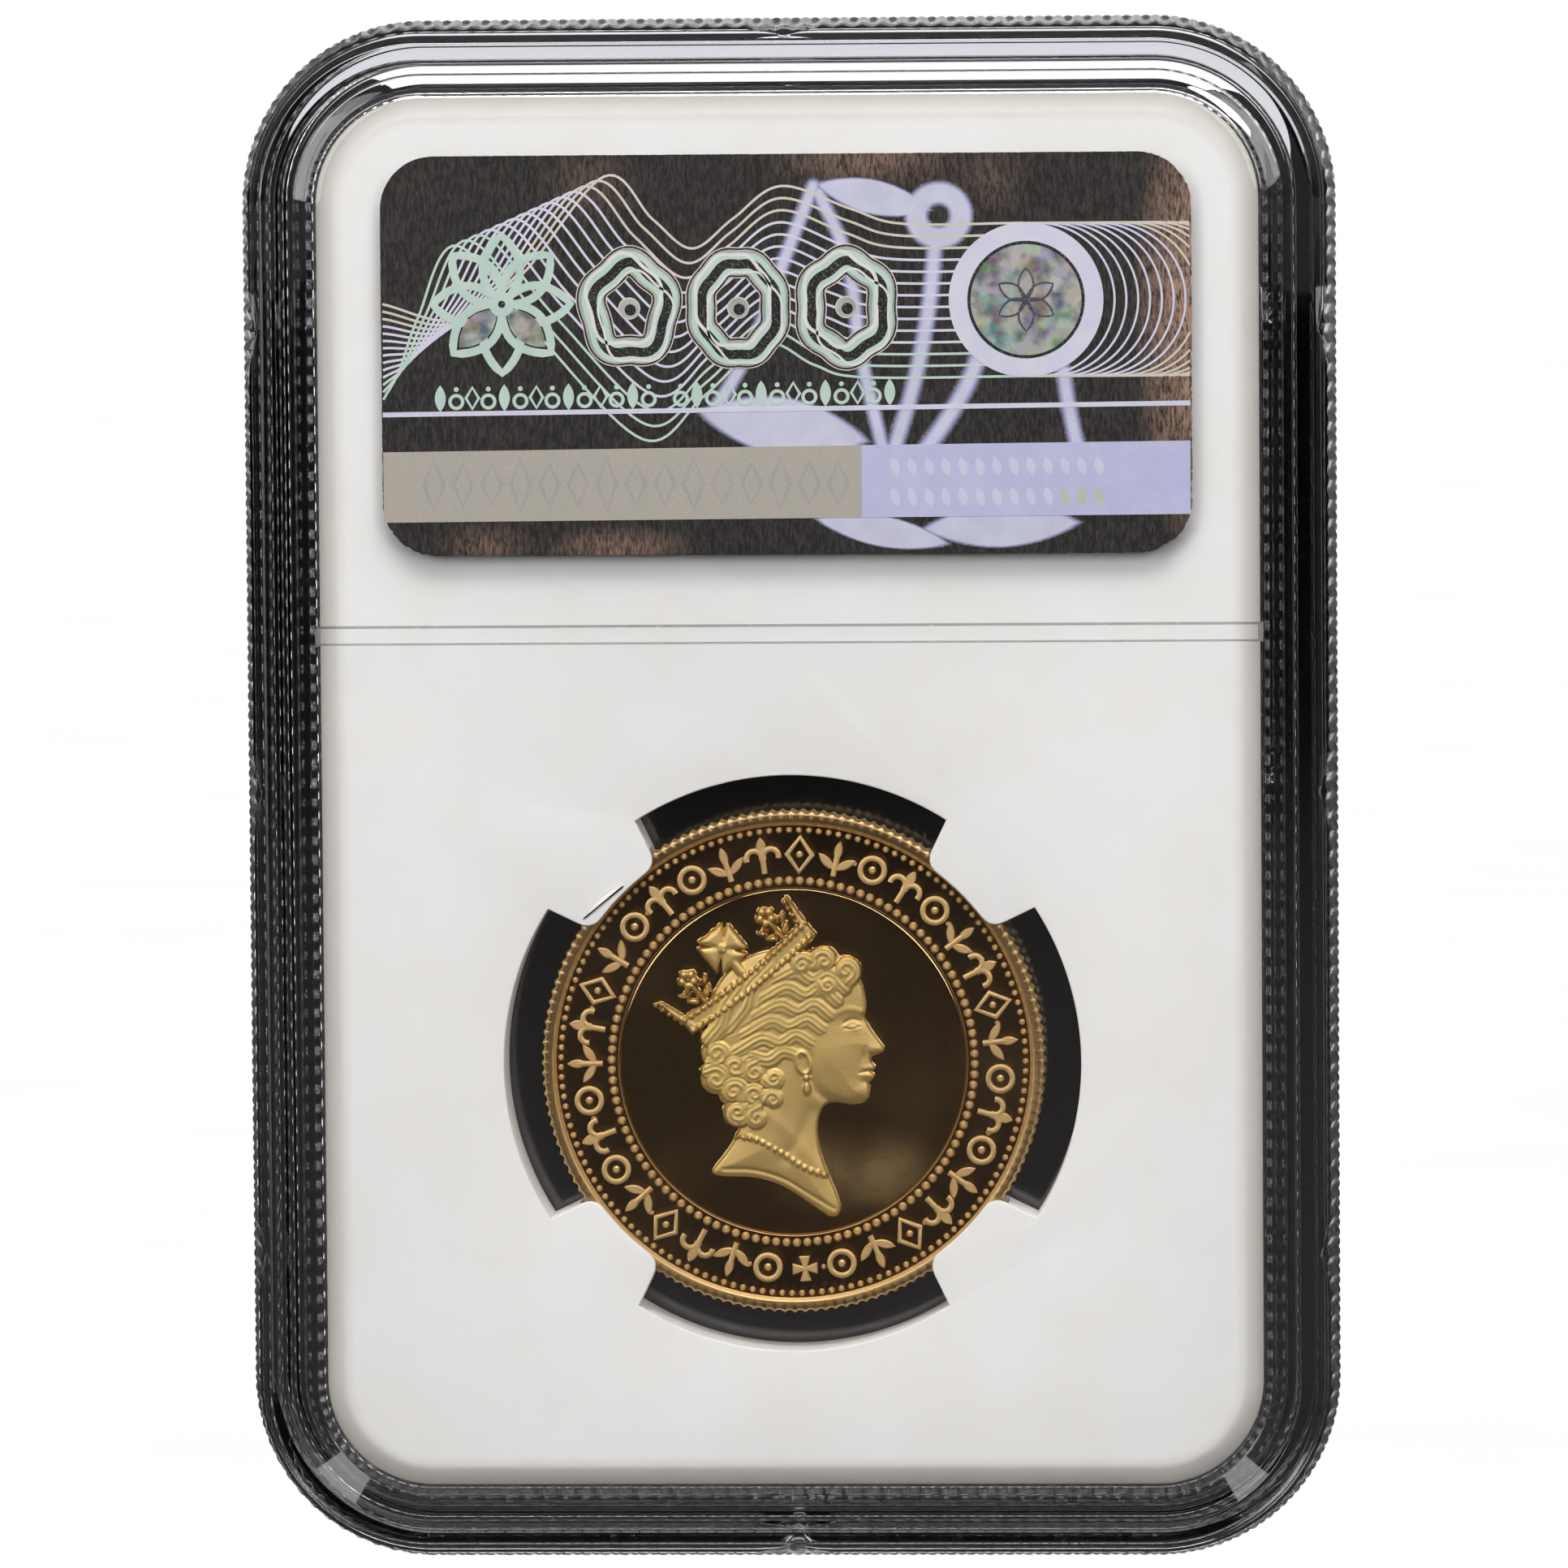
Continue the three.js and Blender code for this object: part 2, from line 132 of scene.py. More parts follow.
WINDOW_OUTSIDE = FOIL.front
WINDOW_INSIDE = 2.1
WELD_GAP = 0.015
RIB_Y = 52.45
RIB_WIDTH = 1.1
RIB_HEIGHT = 0.3
RIB_SLOPE = 0.14

# The holder.
HOLDER_EDGE_STEP = 1.1
HOLDER_EDGE_HALF_THICKNESS = 1.5
APERTURE_RADIUS = 16.25
PRONG_TIP_RADIUS = 13.5
PRONG_ROOT_ANGLE = radians(12.4)
PRONG_TIP_ANGLE = radians(11)
PRONG_CORNER = 0.9
SLOT_RADIUS = 14.5
SLOT_HALF_HEIGHT = 1.4

# The coin. A field is the height of a flat face over the coin's mid-plane.
RING_FIELD = 1.0
CENTRE_FIELD = 0.95
SEAM_RADIUS = 9.8
COIN_TURN = radians(2.4)


# ---- Meshes ----

class Builder:
    """Collects points, faces and the material number of each face."""

    def __init__(self):
        self.points = []
        self.faces = []
        self.slots = []

    def add(self, points, faces, slot=0):
        first = len(self.points)
        self.points.extend(tuple(map(float, point)) for point in points)
        self.faces.extend([first + corner for corner in face] for face in faces)
        self.slots.extend([slot] * len(faces))

    def mesh(self, name):
        mesh = bpy.data.meshes.new(name)
        mesh.from_pydata(self.points, [], self.faces)
        mesh.polygons.foreach_set("material_index", self.slots)
        mesh.update()
        return mesh


def add_piece(name, mesh, materials, body, node, sharp_degrees=32):
    """Stands a flat mesh up in the frame as a named piece, on its body and in place of its CAD node."""
    mesh.transform(SLAB_TO_WORLD)
    mesh.shade_smooth()
    mesh.set_sharp_from_angle(angle=radians(sharp_degrees))
    for material in materials:
        mesh.materials.append(material)
    piece = bpy.data.objects.new(name, mesh)
    bpy.context.collection.objects.link(piece)
    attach(piece, body)
    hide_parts(node)


def mark(mesh, name, values):
    """Gives each point of a mesh a number that a material can read by name."""
    layer = mesh.attributes.new(name, "FLOAT", "POINT")
    layer.data.foreach_set("value", np.asarray(values, np.float32))


def stacked(rings):
    """A closed body from rings of equally many points: a lid, the bands between the rings, and a lid."""
    count = len(rings[0])
    points = np.concatenate(rings)
    faces = [list(range(count))]
    for level in range(len(rings) - 1):
        upper, lower = level * count, (level + 1) * count
        for here in range(count):
            after = (here + 1) % count
            faces.append([upper + here, lower + here, lower + after, upper + after])
    last = (len(rings) - 1) * count
    faces.append([last + corner for corner in reversed(range(count))])
    return points, faces


def at_height(outline, z):
    return np.column_stack([outline, np.full(len(outline), float(z))])


def prism(outline, bottom, top, bevel=0.0):
    """A flat plate of an outline given anticlockwise, with its upper edge drawn in by the bevel."""
    outline = np.asarray(outline, float)
    rings = [at_height(grown(outline, -bevel), top)]
    if bevel:
        rings.append(at_height(outline, top - bevel))
    rings.append(at_height(outline, bottom))
    return stacked(rings)


def grown(outline, distance):
    """A closed outline, given anticlockwise, moved outwards along its own normals, mitred at corners."""
    before = outline - np.roll(outline, 1, axis=0)
    after = np.roll(outline, -1, axis=0) - outline
    before /= np.linalg.norm(before, axis=1)[:, None]
    after /= np.linalg.norm(after, axis=1)[:, None]
    middle = before + after
    middle /= np.linalg.norm(middle, axis=1)[:, None]
    normal = np.column_stack([middle[:, 1], -middle[:, 0]])
    mitre = np.maximum(np.sum(middle * after, axis=1), 0.4)
    return outline + normal * (distance / mitre)[:, None]


def moved(outline, x, y, turn=0.0):
    """An outline turned about its own origin and then moved."""
    c, s = cos(turn), sin(turn)
    return np.asarray(outline, float) @ np.array([[c, s], [-s, c]]) + (x, y)


def run_along(path):
    """How far along a path each of its points is."""
    return np.concatenate([[0], np.cumsum(np.linalg.norm(np.diff(path, axis=0), axis=1))])


def curve_through(points, steps=8):
    """A Catmull-Rom curve through a few points."""
    points = np.asarray(points, float)
    padded = np.concatenate([2 * points[:1] - points[1:2], points, 2 * points[-1:] - points[-2:-1]])
    t = np.linspace(0, 1, steps, endpoint=False)[:, None]
    curve = []
    for a, b, c, d in zip(padded, padded[1:], padded[2:], padded[3:]):
        curve.append(0.5 * (2 * b + (c - a) * t + (2 * a - 5 * b + 4 * c - d) * t**2
                            + (3 * b - a - 3 * c + d) * t**3))
    curve.append(points[-1:])
    return np.concatenate(curve)


def arc(x, y, radius, start, end, steps):
    angles = np.linspace(start, end, steps)
    return np.column_stack([x + radius * np.cos(angles), y + radius * np.sin(angles)])


def circle(x, y, radius, steps=32):
    return arc(x, y, radius, 0, 2 * pi, steps + 1)[:-1]


def rounded_rectangle(x, y, width, height, radius, steps=10):
    flat_x, flat_y = width / 2 - radius, height / 2 - radius
    corners = [(flat_x, flat_y), (-flat_x, flat_y), (-flat_x, -flat_y), (flat_x, -flat_y)]
    arcs = []
    for quarter, (corner_x, corner_y) in enumerate(corners):
        start = quarter * pi / 2
        arcs.append(arc(x + corner_x, y + corner_y, radius, start, start + pi / 2, steps))
    return np.concatenate(arcs)


def ribbon(path, width, bottom, top, closed=False, crown=0.0):
    """A strip of one width along a path. With a crown it is half-round, like an embossed line."""
    path = np.asarray(path, float)
    if closed:
        along = np.roll(path, -1, axis=0) - np.roll(path, 1, axis=0)
    else:
        along = np.gradient(path, axis=0)
    along /= np.linalg.norm(along, axis=1)[:, None]
    normal = np.column_stack([along[:, 1], -along[:, 0]])
    half = width / 2
    section = [(half, bottom), (half, top)]
    if crown:
        section += [(half * cos(a), top + crown * sin(a)) for a in np.linspace(0, pi, 7)[1:-1]]
    section += [(-half, top), (-half, bottom)]
    sides = len(section)
    points = []
    for place, out in zip(path, normal):
        points += [(*(place + out * offset), z) for offset, z in section]
    faces = []
    for here in range(len(path) if closed else len(path) - 1):
        first, second = here * sides, ((here + 1) % len(path)) * sides
        for side in range(sides):
            after = (side + 1) % sides
            faces.append([first + side, first + after, second + after, second + side])
    if not closed:
        faces.append(list(reversed(range(sides))))
        faces.append([(len(path) - 1) * sides + side for side in range(sides)])
    return points, [face[::-1] for face in faces]


def dome(radius, bottom, height):
    """A bead: a low dome on a short sunk foot."""
    around, up = 12, 3
    rings = [at_height(circle(0, 0, radius, around), bottom - 0.05)]
    for level in range(up):
        lift = level / up * pi / 2
        rings.append(at_height(circle(0, 0, radius * cos(lift), around), bottom + height * sin(lift)))
    return stacked(rings[::-1])


# ---- Materials ----

def with_alpha(value):
    """A colour given as (red, green, blue), as a socket takes it. Anything else is left as it is."""
    return (*value, 1) if isinstance(value, tuple) else value


class Shader:
    """A material or a world, built by adding nodes whose inputs are values or other nodes' outputs."""

    def __init__(self, name, world=None):
        self.owner = world or bpy.data.materials.new(name)
        self.owner.use_nodes = True
        self.tree = self.owner.node_tree
        self.tree.nodes.clear()

    def add(self, kind, inputs=None, **settings):
        node = self.tree.nodes.new("ShaderNode" + kind)
        for setting, value in settings.items():
            setattr(node, setting, value)
        for name, value in (inputs or {}).items():
            if isinstance(value, bpy.types.NodeSocket):
                self.tree.links.new(value, node.inputs[name])
            else:
                node.inputs[name].default_value = value
        return node

    def place(self, scale=(1, 1, 1)):
        """The surface's own coordinates, in metres, stretched by a scale."""
        coordinates = self.add("TexCoord").outputs["Object"]
        return self.add("Mapping", {"Vector": coordinates, "Scale": scale}).outputs["Vector"]

    def noise(self, scale, detail=3, stretch=(1, 1, 1), roughness=0.5):
        inputs = {"Vector": self.place(stretch), "Scale": scale, "Detail": detail, "Roughness": roughness}
        return self.add("TexNoise", inputs).outputs["Fac"]

    def ramp(self, value, *stops):
        """A colour ramp; each stop is (position, (red, green, blue))."""
        node = self.add("ValToRGB", {"Fac": value})
        elements = node.color_ramp.elements
        while len(elements) < len(stops):
            elements.new(0.5)
        for element, (position, colour) in zip(elements, stops):
            element.position = position
            element.color = (*colour, 1)
        return node.outputs["Color"]

    def span(self, value, low, high, new_low, new_high):
        inputs = {"Value": value, "From Min": low, "From Max": high, "To Min": new_low, "To Max": new_high}
        return self.add("MapRange", inputs).outputs["Result"]

    def blend(self, factor, first, second):
        inputs = {0: factor, 6: with_alpha(first), 7: with_alpha(second)}
        return self.add("Mix", inputs, data_type="RGBA").outputs[2]

    def calculate(self, operation, first, second, clamp=False):
        inputs = {0: first, 1: second}
        return self.add("Math", inputs, operation=operation, use_clamp=clamp).outputs[0]

    def bump(self, height, strength, distance):
        inputs = {"Height": height, "Strength": strength, "Distance": distance}
        return self.add("Bump", inputs).outputs["Normal"]

    def principled(self, **inputs):
        """A principled surface. Colours are (red, green, blue)."""
        named = {name.replace("_", " "): with_alpha(value) for name, value in inputs.items()}
        return self.add("BsdfPrincipled", named)

    def finish(self, surface, kind="OutputMaterial"):
        self.add(kind, {"Surface": surface.outputs[0]})
        return self.owner


def clear_plastic(name, low_roughness, high_roughness, tint=(0.925, 0.925, 0.94)):
    """Clear polystyrene with faint handling marks. Lamps shine through it as through a clean pane."""
    shader = Shader(name)
    marks = shader.noise(2600, detail=4, stretch=(1, 1, 0.12))
    body = shader.principled(
        Base_Color=tint,
        Roughness=shader.span(marks, 0.45, 0.75, low_roughness, high_roughness),
        IOR=1.57,
        Transmission_Weight=1.0,
        Normal=shader.bump(shader.noise(90, detail=1), 0.02, 0.0006),
    )
    open_way = shader.add("BsdfTransparent", {"Color": (0.94, 0.945, 0.95, 1)})
    shadow = shader.add("LightPath").outputs["Is Shadow Ray"]
    mix = shader.add("MixShader", {0: shadow, 1: body.outputs[0], 2: open_way.outputs[0]})
    return shader.finish(mix)


def soft_white():
    """The holder's matt white elastomer, faintly mottled, with painted shade greying it round its edge."""
    shader = Shader("soft_white_elastomer")
    mottle = shader.noise(160, detail=5)
    grain = shader.noise(6000, detail=2)
    white = shader.ramp(mottle, (0.3, (0.785, 0.772, 0.745)), (0.7, (0.825, 0.816, 0.798)))
    # Painted shade: the "edge" mark blends the white to a grey beige round the holder's edge and at the
    # prong crease's foot.
    edge = shader.add("Attribute", attribute_name="edge").outputs["Fac"]
    surface = shader.principled(
        Base_Color=shader.blend(edge, white, (0.50, 0.475, 0.425)),
        Roughness=shader.span(grain, 0.3, 0.7, 0.5, 0.62),
        Specular_IOR_Level=0.35,
        Normal=shader.bump(grain, 0.12, 0.00004),
    )
    return shader.finish(surface)


def gold(name, colour, toned_colour, frosted, cloud=None):
    """Gold, from polished (frosted 0) to struck with a frosted die (1). `frosted` may name a mask.

    `cloud` is an oval of haze on the polished field: its middle and radii in the slab's plane."""
    shader = Shader(name)
    grain = shader.noise(9000, detail=3)
    clouds = shader.noise(95, detail=3)
    toned = shader.blend(shader.span(clouds, 0.4, 0.7, 0.0, 0.5), colour, toned_colour)
    mask = frosted
    if isinstance(frosted, str):
        mask = shader.add("Attribute", attribute_name=frosted).outputs["Fac"]
    haze = shader.span(clouds, 0.45, 0.75, 0.03, 0.20)
    if cloud:
        patchy = shader.span(clouds, 0.3, 0.6, 0.06, 0.30)
        haze = shader.calculate("ADD", haze, shader.calculate("MULTIPLY", spot(shader, *cloud), patchy))
    rough = shader.add("Mix", {0: mask, 2: haze, 3: 0.5}).outputs[0]
    height = shader.calculate("MULTIPLY", grain, mask)
    surface = shader.principled(
        Base_Color=shader.blend(mask, toned_colour, toned),
        Metallic=1.0,
        Roughness=rough,
        Normal=shader.bump(height, 0.35, 0.00003),
    )
    return shader.finish(surface)


def ink(name, colour, second, rough=0.38, metallic=0.0):
    """A holographic ink: two close tints in fine clouds."""
    shader = Shader(name)
    tint = shader.ramp(shader.noise(700, detail=2), (0.35, colour), (0.65, second))
    fleck = shader.noise(9000, detail=1)
    surface = shader.principled(
        Base_Color=shader.blend(shader.span(fleck, 0.55, 0.75, 0.0, 0.25), tint, (0.95, 0.95, 0.95)),
        Metallic=metallic,
        Roughness=rough,
    )
    return shader.finish(surface)


def mosaic_ink():
    """The round patch's small pastel facets."""
    shader = Shader("mosaic_ink")
    cells = shader.add("TexVoronoi", {"Vector": shader.place(), "Scale": 1250.0})
    grey, pale = (0.24, 0.26, 0.26), (0.78, 0.82, 0.76)
    clouds = shader.ramp(shader.noise(900, detail=2), (0.38, grey), (0.58, pale))
    surface = shader.principled(
        Base_Color=shader.blend(0.22, clouds, cells.outputs["Color"]),
        Metallic=0.4,
        Roughness=0.3,
    )
    return shader.finish(surface)


def spot(shader, centre, radii):
    """1 in the middle of an oval in the slab's plane, falling to 0 at its edge. In millimetres."""
    scale = (1000 / radii[0], 0, 1000 / radii[1])
    inputs = {
        "Vector": shader.add("TexCoord").outputs["Object"],
        "Scale": scale,
        "Location": (-centre[0] / radii[0], 0, -centre[1] / radii[1]),
    }
    placed = shader.add("Mapping", inputs).outputs["Vector"]
    reach = shader.add("VectorMath", {0: placed}, operation="LENGTH").outputs["Value"]
    return shader.span(reach, 0.1, 1.0, 1.0, 0.0)


def dark_foil():
    """Brown-black embossed foil with a vertical weave, and a painted copper sheen in a few soft patches.
    """
    shader = Shader("dark_foil")
    weave = shader.noise(7000, detail=3, stretch=(1, 1, 0.25), roughness=0.7)
    # Painted sheen: a copper reflection laid into the colour at fixed soft patches.
    painted_sheen = 0.0
    middle = FOIL.centre_y
    patches = (
        ((-11.0, middle + 9.5), (3.0, 2.4), 0.22),
        ((4.5, middle + 10.8), (6.0, 1.8), 0.5),
        ((11.5, middle + 9.8), (2.4, 2.4), 0.2),
        ((22.9, middle + 2.0), (3.6, 14.0), 1.2),
        ((-9.5, middle - 10.8), (4.5, 1.4), 0.55),
        ((-17.0, middle - 10.6), (3.0, 1.4), 0.4),
    )
    for centre, radii, strength in patches:
        painted_sheen_patch = shader.calculate("MULTIPLY", spot(shader, centre, radii), strength)
        painted_sheen = shader.calculate("ADD", painted_sheen, painted_sheen_patch)
    lit = shader.calculate("MULTIPLY", painted_sheen, shader.span(weave, 0.36, 0.62, 0.1, 1.2), clamp=True)
    ground = shader.ramp(weave, (0.40, (0.020, 0.018, 0.017)), (0.70, (0.076, 0.069, 0.065)))
    surface = shader.principled(
        Base_Color=shader.blend(lit, ground, (0.53, 0.33, 0.245)),
        Metallic=0.3,
        Roughness=0.42,
        Normal=shader.bump(weave, 0.4, 0.00004),
    )
    return shader.finish(surface)


def card_stock():
    """The card's coated white board."""
    shader = Shader("card_stock")
    fibre = shader.noise(2500, detail=4)
    surface = shader.principled(
        Base_Color=shader.ramp(fibre, (0.3, (0.78, 0.78, 0.76)), (0.7, (0.84, 0.84, 0.83))),
        Roughness=0.45,
        Normal=shader.bump(fibre, 0.1, 0.00002),
    )
    return shader.finish(surface)


# ---- Camera, stage and light ----

CAMERA_DISTANCE = 0.6
CAMERA_ELEVATION = radians(4.0)
CAMERA_AZIMUTH = radians(3.0)
CAMERA_ROLL = radians(-0.453)
CAMERA_TARGET = Vector((-0.00046, 0, CAD_BOX[0].z + 0.0438))
LENS = 244.4


def add_camera():
    """A long lens that looks at the rear window from a little above and to the right."""
    back = Vector((
        sin(CAMERA_AZIMUTH) * cos(CAMERA_ELEVATION),
        -cos(CAMERA_AZIMUTH) * cos(CAMERA_ELEVATION),
        sin(CAMERA_ELEVATION),
    ))
    right = Vector((0, 0, 1)).cross(back).normalized()
    up = back.cross(right)
    tilted_right = cos(CAMERA_ROLL) * right + sin(CAMERA_ROLL) * up
    tilted_up = back.cross(tilted_right)
    camera_data = bpy.data.cameras.new("camera")
    camera_data.lens = LENS
    camera_data.sensor_width = 36
    camera_data.clip_start = 0.01
    camera = bpy.data.objects.new("camera", camera_data)
    rotation = Matrix((tilted_right, tilted_up, back)).transposed().to_4x4()
    camera.matrix_world = Matrix.Translation(CAMERA_TARGET + back * CAMERA_DISTANCE) @ rotation
    bpy.context.collection.objects.link(camera)
    bpy.context.scene.camera = camera


def add_softbox(name, place, width, height, power, colour, aim=CAMERA_TARGET):
    lamp_data = bpy.data.lights.new(name, "AREA")
    lamp_data.shape = "RECTANGLE"
    lamp_data.size = width
    lamp_data.size_y = height
    lamp_data.energy = power
    lamp_data.color = colour
    lamp = bpy.data.objects.new(name, lamp_data)
    lamp.location = place
    lamp.rotation_euler = (aim - Vector(place)).to_track_quat("-Z", "Y").to_euler()
    lamp.visible_camera = False
    bpy.context.collection.objects.link(lamp)


def add_lights():
    """A high softbox and two fills in front, a weak fill behind, and two small cards at the top rim."""
    rim = Vector((0, 0, CAD_BOX[1].z))
    add_softbox("key_softbox", (0.02, -0.28, 0.42), 0.34, 0.16, 1.38, (1.0, 0.985, 0.965))
    add_softbox("left_fill", (-0.26, -0.48, 0.20), 0.20, 0.26, 0.62, (1.0, 0.99, 0.975))
    add_softbox("right_fill", (0.22, -0.50, 0.22), 0.20, 0.26, 0.62, (1.0, 0.99, 0.975))
    add_softbox("rear_fill", (0.30, 0.40, 0.42), 0.25, 0.25, 0.42, (1.0, 0.99, 0.98))
    add_softbox("upper_card", (0, 0.06, rim.z + 0.0145), 0.066, 0.020, 0.0062, (0.95, 0.97, 1.0), rim)
    add_softbox("lower_card", (0, 0.06, rim.z - 0.0015), 0.066, 0.012, 0.0025, (0.95, 0.97, 1.0), rim)


def pale_stage_material():
    """White where it is seen directly, and dark where the clear plastic and the gold mirror it."""
    shader = Shader("pale_stage")
    direct = shader.add("LightPath").outputs["Is Camera Ray"]
    mottle = shader.ramp(shader.noise(30, detail=2), (0.3, (0.97, 0.97, 0.97)), (0.7, (1, 1, 1)))
    white = shader.add("Emission", {"Color": mottle, "Strength": 1.02})
    dark = shader.add("BsdfDiffuse", {"Color": (0.045, 0.042, 0.041, 1)})
    mix = shader.add("MixShader", {0: direct, 1: dark.outputs[0], 2: white.outputs[0]})
    return shader.finish(mix)


def add_stage():
    floor = Builder()
    floor.add([(-3, -3, 0), (3, -3, 0), (3, 3, 0), (-3, 3, 0)], [[0, 1, 2, 3]])
    mesh = floor.mesh("studio_floor")
    mesh.materials.append(pale_stage_material())
    stage = bpy.data.objects.new("studio_floor", mesh)
    stage.location.z = CAD_BOX[0].z - 0.0002
    bpy.context.collection.objects.link(stage)


def add_world():
    """A white room to the eye. What the plastic and the gold mirror is a dark one."""
    shader = Shader("studio_world", bpy.data.worlds.new("studio_world"))
    direct = shader.add("LightPath").outputs["Is Camera Ray"]
    seen = shader.add("Background", {"Color": (1, 1, 1, 1)})
    mirrored = shader.add("Background", {"Color": (0.33, 0.31, 0.31, 1), "Strength": 0.06})
    mix = shader.add("MixShader", {0: direct, 1: mirrored.outputs[0], 2: seen.outputs[0]})
    bpy.context.scene.world = shader.finish(mix, "OutputWorld")


# ---- The clear shells ----

def slab_outline(count):
    """Stations on the outline, anticlockwise from the middle of the bottom edge.

    Returns the centre that each is set out from, its outward normal, and its distance along."""
    flat_x, flat_y = HALF_WIDTH - CORNER_RADIUS, HALF_HEIGHT - CORNER_RADIUS
    quarter = pi / 2 * CORNER_RADIUS
    stretches = [
        (flat_x, (0, -flat_y), -pi / 2, False),
        (quarter, (flat_x, -flat_y), -pi / 2, True),
        (2 * flat_y, (flat_x, -flat_y), 0, False),
        (quarter, (flat_x, flat_y), 0, True),
        (2 * flat_x, (flat_x, flat_y), pi / 2, False),
        (quarter, (-flat_x, flat_y), pi / 2, True),
        (2 * flat_y, (-flat_x, flat_y), pi, False),
        (quarter, (-flat_x, -flat_y), pi, True),
        (flat_x, (-flat_x, -flat_y), -pi / 2, False),
    ]
    length = sum(stretch[0] for stretch in stretches)
    bases, normals, distances = [], [], []
    start, index = 0.0, 0
    for station in range(count):
        distance = length * station / count
        while index < len(stretches) - 1 and distance > start + stretches[index][0]:
            start += stretches[index][0]
            index += 1
        _, (x, y), angle, is_arc = stretches[index]
        along = distance - start
        run = 0 if is_arc else along
        bases.append((x - sin(angle) * run, y + cos(angle) * run))
        if is_arc:
            angle += along / CORNER_RADIUS
        normals.append((cos(angle), sin(angle)))
        distances.append(distance)
    return np.array(bases), np.array(normals), np.array(distances), length


BASES, NORMALS, DISTANCES, OUTLINE_LENGTH = slab_outline(OUTLINE_POINTS)


def notch_weight():
    """1 at the middle of each finger notch, falling to 0 at its ends."""
    flat_y = HALF_HEIGHT - CORNER_RADIUS
    middle = HALF_WIDTH - CORNER_RADIUS + pi / 2 * CORNER_RADIUS + flat_y
    centres = [0, OUTLINE_LENGTH / 2, OUTLINE_LENGTH]
    for side in (middle, OUTLINE_LENGTH - middle):
        centres += [side - SIDE_NOTCH_SPACING, side, side + SIDE_NOTCH_SPACING]
    nearest = np.min([np.abs(DISTANCES - centre) for centre in centres], axis=0)
    return np.clip(1 - nearest / (NOTCH_LENGTH / 2), 0, 1)


def shell_ring(inset, z, scallop=0.0, notch=0.0, phase=0.0):
    """A ring of the outline, inset, with its share of the scallops and the finger notches."""
    wave = 0.5 - 0.5 * np.cos(2 * pi * SCALLOP_COUNT * DISTANCES / OUTLINE_LENGTH + phase)
    reach = CORNER_RADIUS - inset - scallop * SCALLOP_DEPTH * wave - notch * NOTCH_DEPTH * notch_weight()
    plane = BASES + NORMALS * reach[:, None] + (0, HALF_HEIGHT)
    return at_height(plane, z)


def filleted(corners, steps=2):
    """Rounds a profile's corners. Each is (inset, z, radius, scallop, notch)."""
    profile = [corners[0]]
    for before, corner, after in zip(corners, corners[1:], corners[2:]):
        point, radius, shares = Vector(corner[:2]), corner[2], corner[3:]
        if radius == 0:
            profile.append(corner)
            continue
        back, forth = Vector(before[:2]) - point, Vector(after[:2]) - point
        cut = min(radius / tan(back.angle(forth) / 2), 0.45 * back.length, 0.45 * forth.length)
        first, last = point + back.normalized() * cut, point + forth.normalized() * cut
        for step in range(steps + 1):
            t = step / steps
            place = first * (1 - t) ** 2 + point * 2 * t * (1 - t) + last * t**2
            profile.append((*place, 0, *shares))
    profile.append(corners[-1])
    return profile


def half_case(name, weld_corners, phase):
    """One shell, drawn with its window up: window, stacking ridge, scalloped wall, weld face, cavity."""
    corners = [
        (WINDOW_RING_INSET, WINDOW_OUTSIDE, 0, 0, 0),
        (WINDOW_FOOT_INSET, WINDOW_OUTSIDE, 0.35, 0, 0),
        (RIDGE_INNER_INSET, RIDGE_TOP, 0.14, 0, 0),
        (RIDGE_OUTER_INSET, RIDGE_TOP, 0.1, 0, 0),
        (BEVEL_END_INSET, BEVEL_TOP, 0.08, 0, 0),
        (BEVEL_START_INSET, SCALLOP_TOP, 0.04, 0, 1),
        (WALL_DRAFT, SCALLOP_TOP, 0.05, 1, 0.4),
        (0.0, WELD_GAP, 0.05, 1, 0),
        *weld_corners,
        (CAVITY_INSET, WELD_GAP, 0.08, 0, 0),
        (CAVITY_INSET, WINDOW_INSIDE, 0.3, 0, 0),
        (CAVITY_INSET + 0.7, WINDOW_INSIDE, 0, 0, 0),
    ]
    profile = filleted(corners)
    points, faces = stacked([shell_ring(inset, z, scallop, notch, phase)
                             for inset, z, _, scallop, notch in profile])
    builder = Builder()
    builder.add(points, faces)
    for level, (upper, lower) in enumerate(zip(profile, profile[1:])):
        if upper[3] > 0 and lower[3] > 0:
            first = 1 + level * OUTLINE_POINTS
            builder.slots[first:first + OUTLINE_POINTS] = [1] * OUTLINE_POINTS
    mesh = builder.mesh(name)
    raise_rib(mesh)
    return mesh


def raise_rib(mesh):
    """Cuts the rib's outline into the window's outer face, lifts its middle and gives its edges the dark
    plastic that paints shade along them.
    """
    bm = bmesh.new()
    bm.from_mesh(mesh)
    end = HALF_WIDTH - WINDOW_RING_INSET - 0.3
    crest = RIB_WIDTH / 2 - RIB_SLOPE
    cuts = [((side * end, 0, 0), (1, 0, 0)) for side in (-1, 1)]
    for offset in (-RIB_WIDTH / 2, -crest, crest, RIB_WIDTH / 2):
        cuts.append(((0, RIB_Y + offset, 0), (0, 1, 0)))
    for place, normal in cuts:
        window = [face for face in bm.faces
                  if all(abs(vert.co.z - WINDOW_OUTSIDE) < 1e-4 for vert in face.verts)]
        geometry = {element for face in window for element in (face, *face.edges, *face.verts)}
        bmesh.ops.bisect_plane(bm, geom=list(geometry), dist=1e-5, plane_co=place, plane_no=normal)
    for vert in bm.verts:
        on_window = abs(vert.co.z - WINDOW_OUTSIDE) < 1e-4
        if on_window and abs(vert.co.y - RIB_Y) < crest + 0.01 and abs(vert.co.x) < end + 0.01:
            vert.co.z += RIB_HEIGHT
    for face in bm.faces:
        lifts = [vert.co.z - WINDOW_OUTSIDE for vert in face.verts]
        if abs(min(lifts)) < 1e-4 and abs(max(lifts) - RIB_HEIGHT) < 1e-4:
            face.material_index = 2
    bm.to_mesh(mesh)
    bm.free()


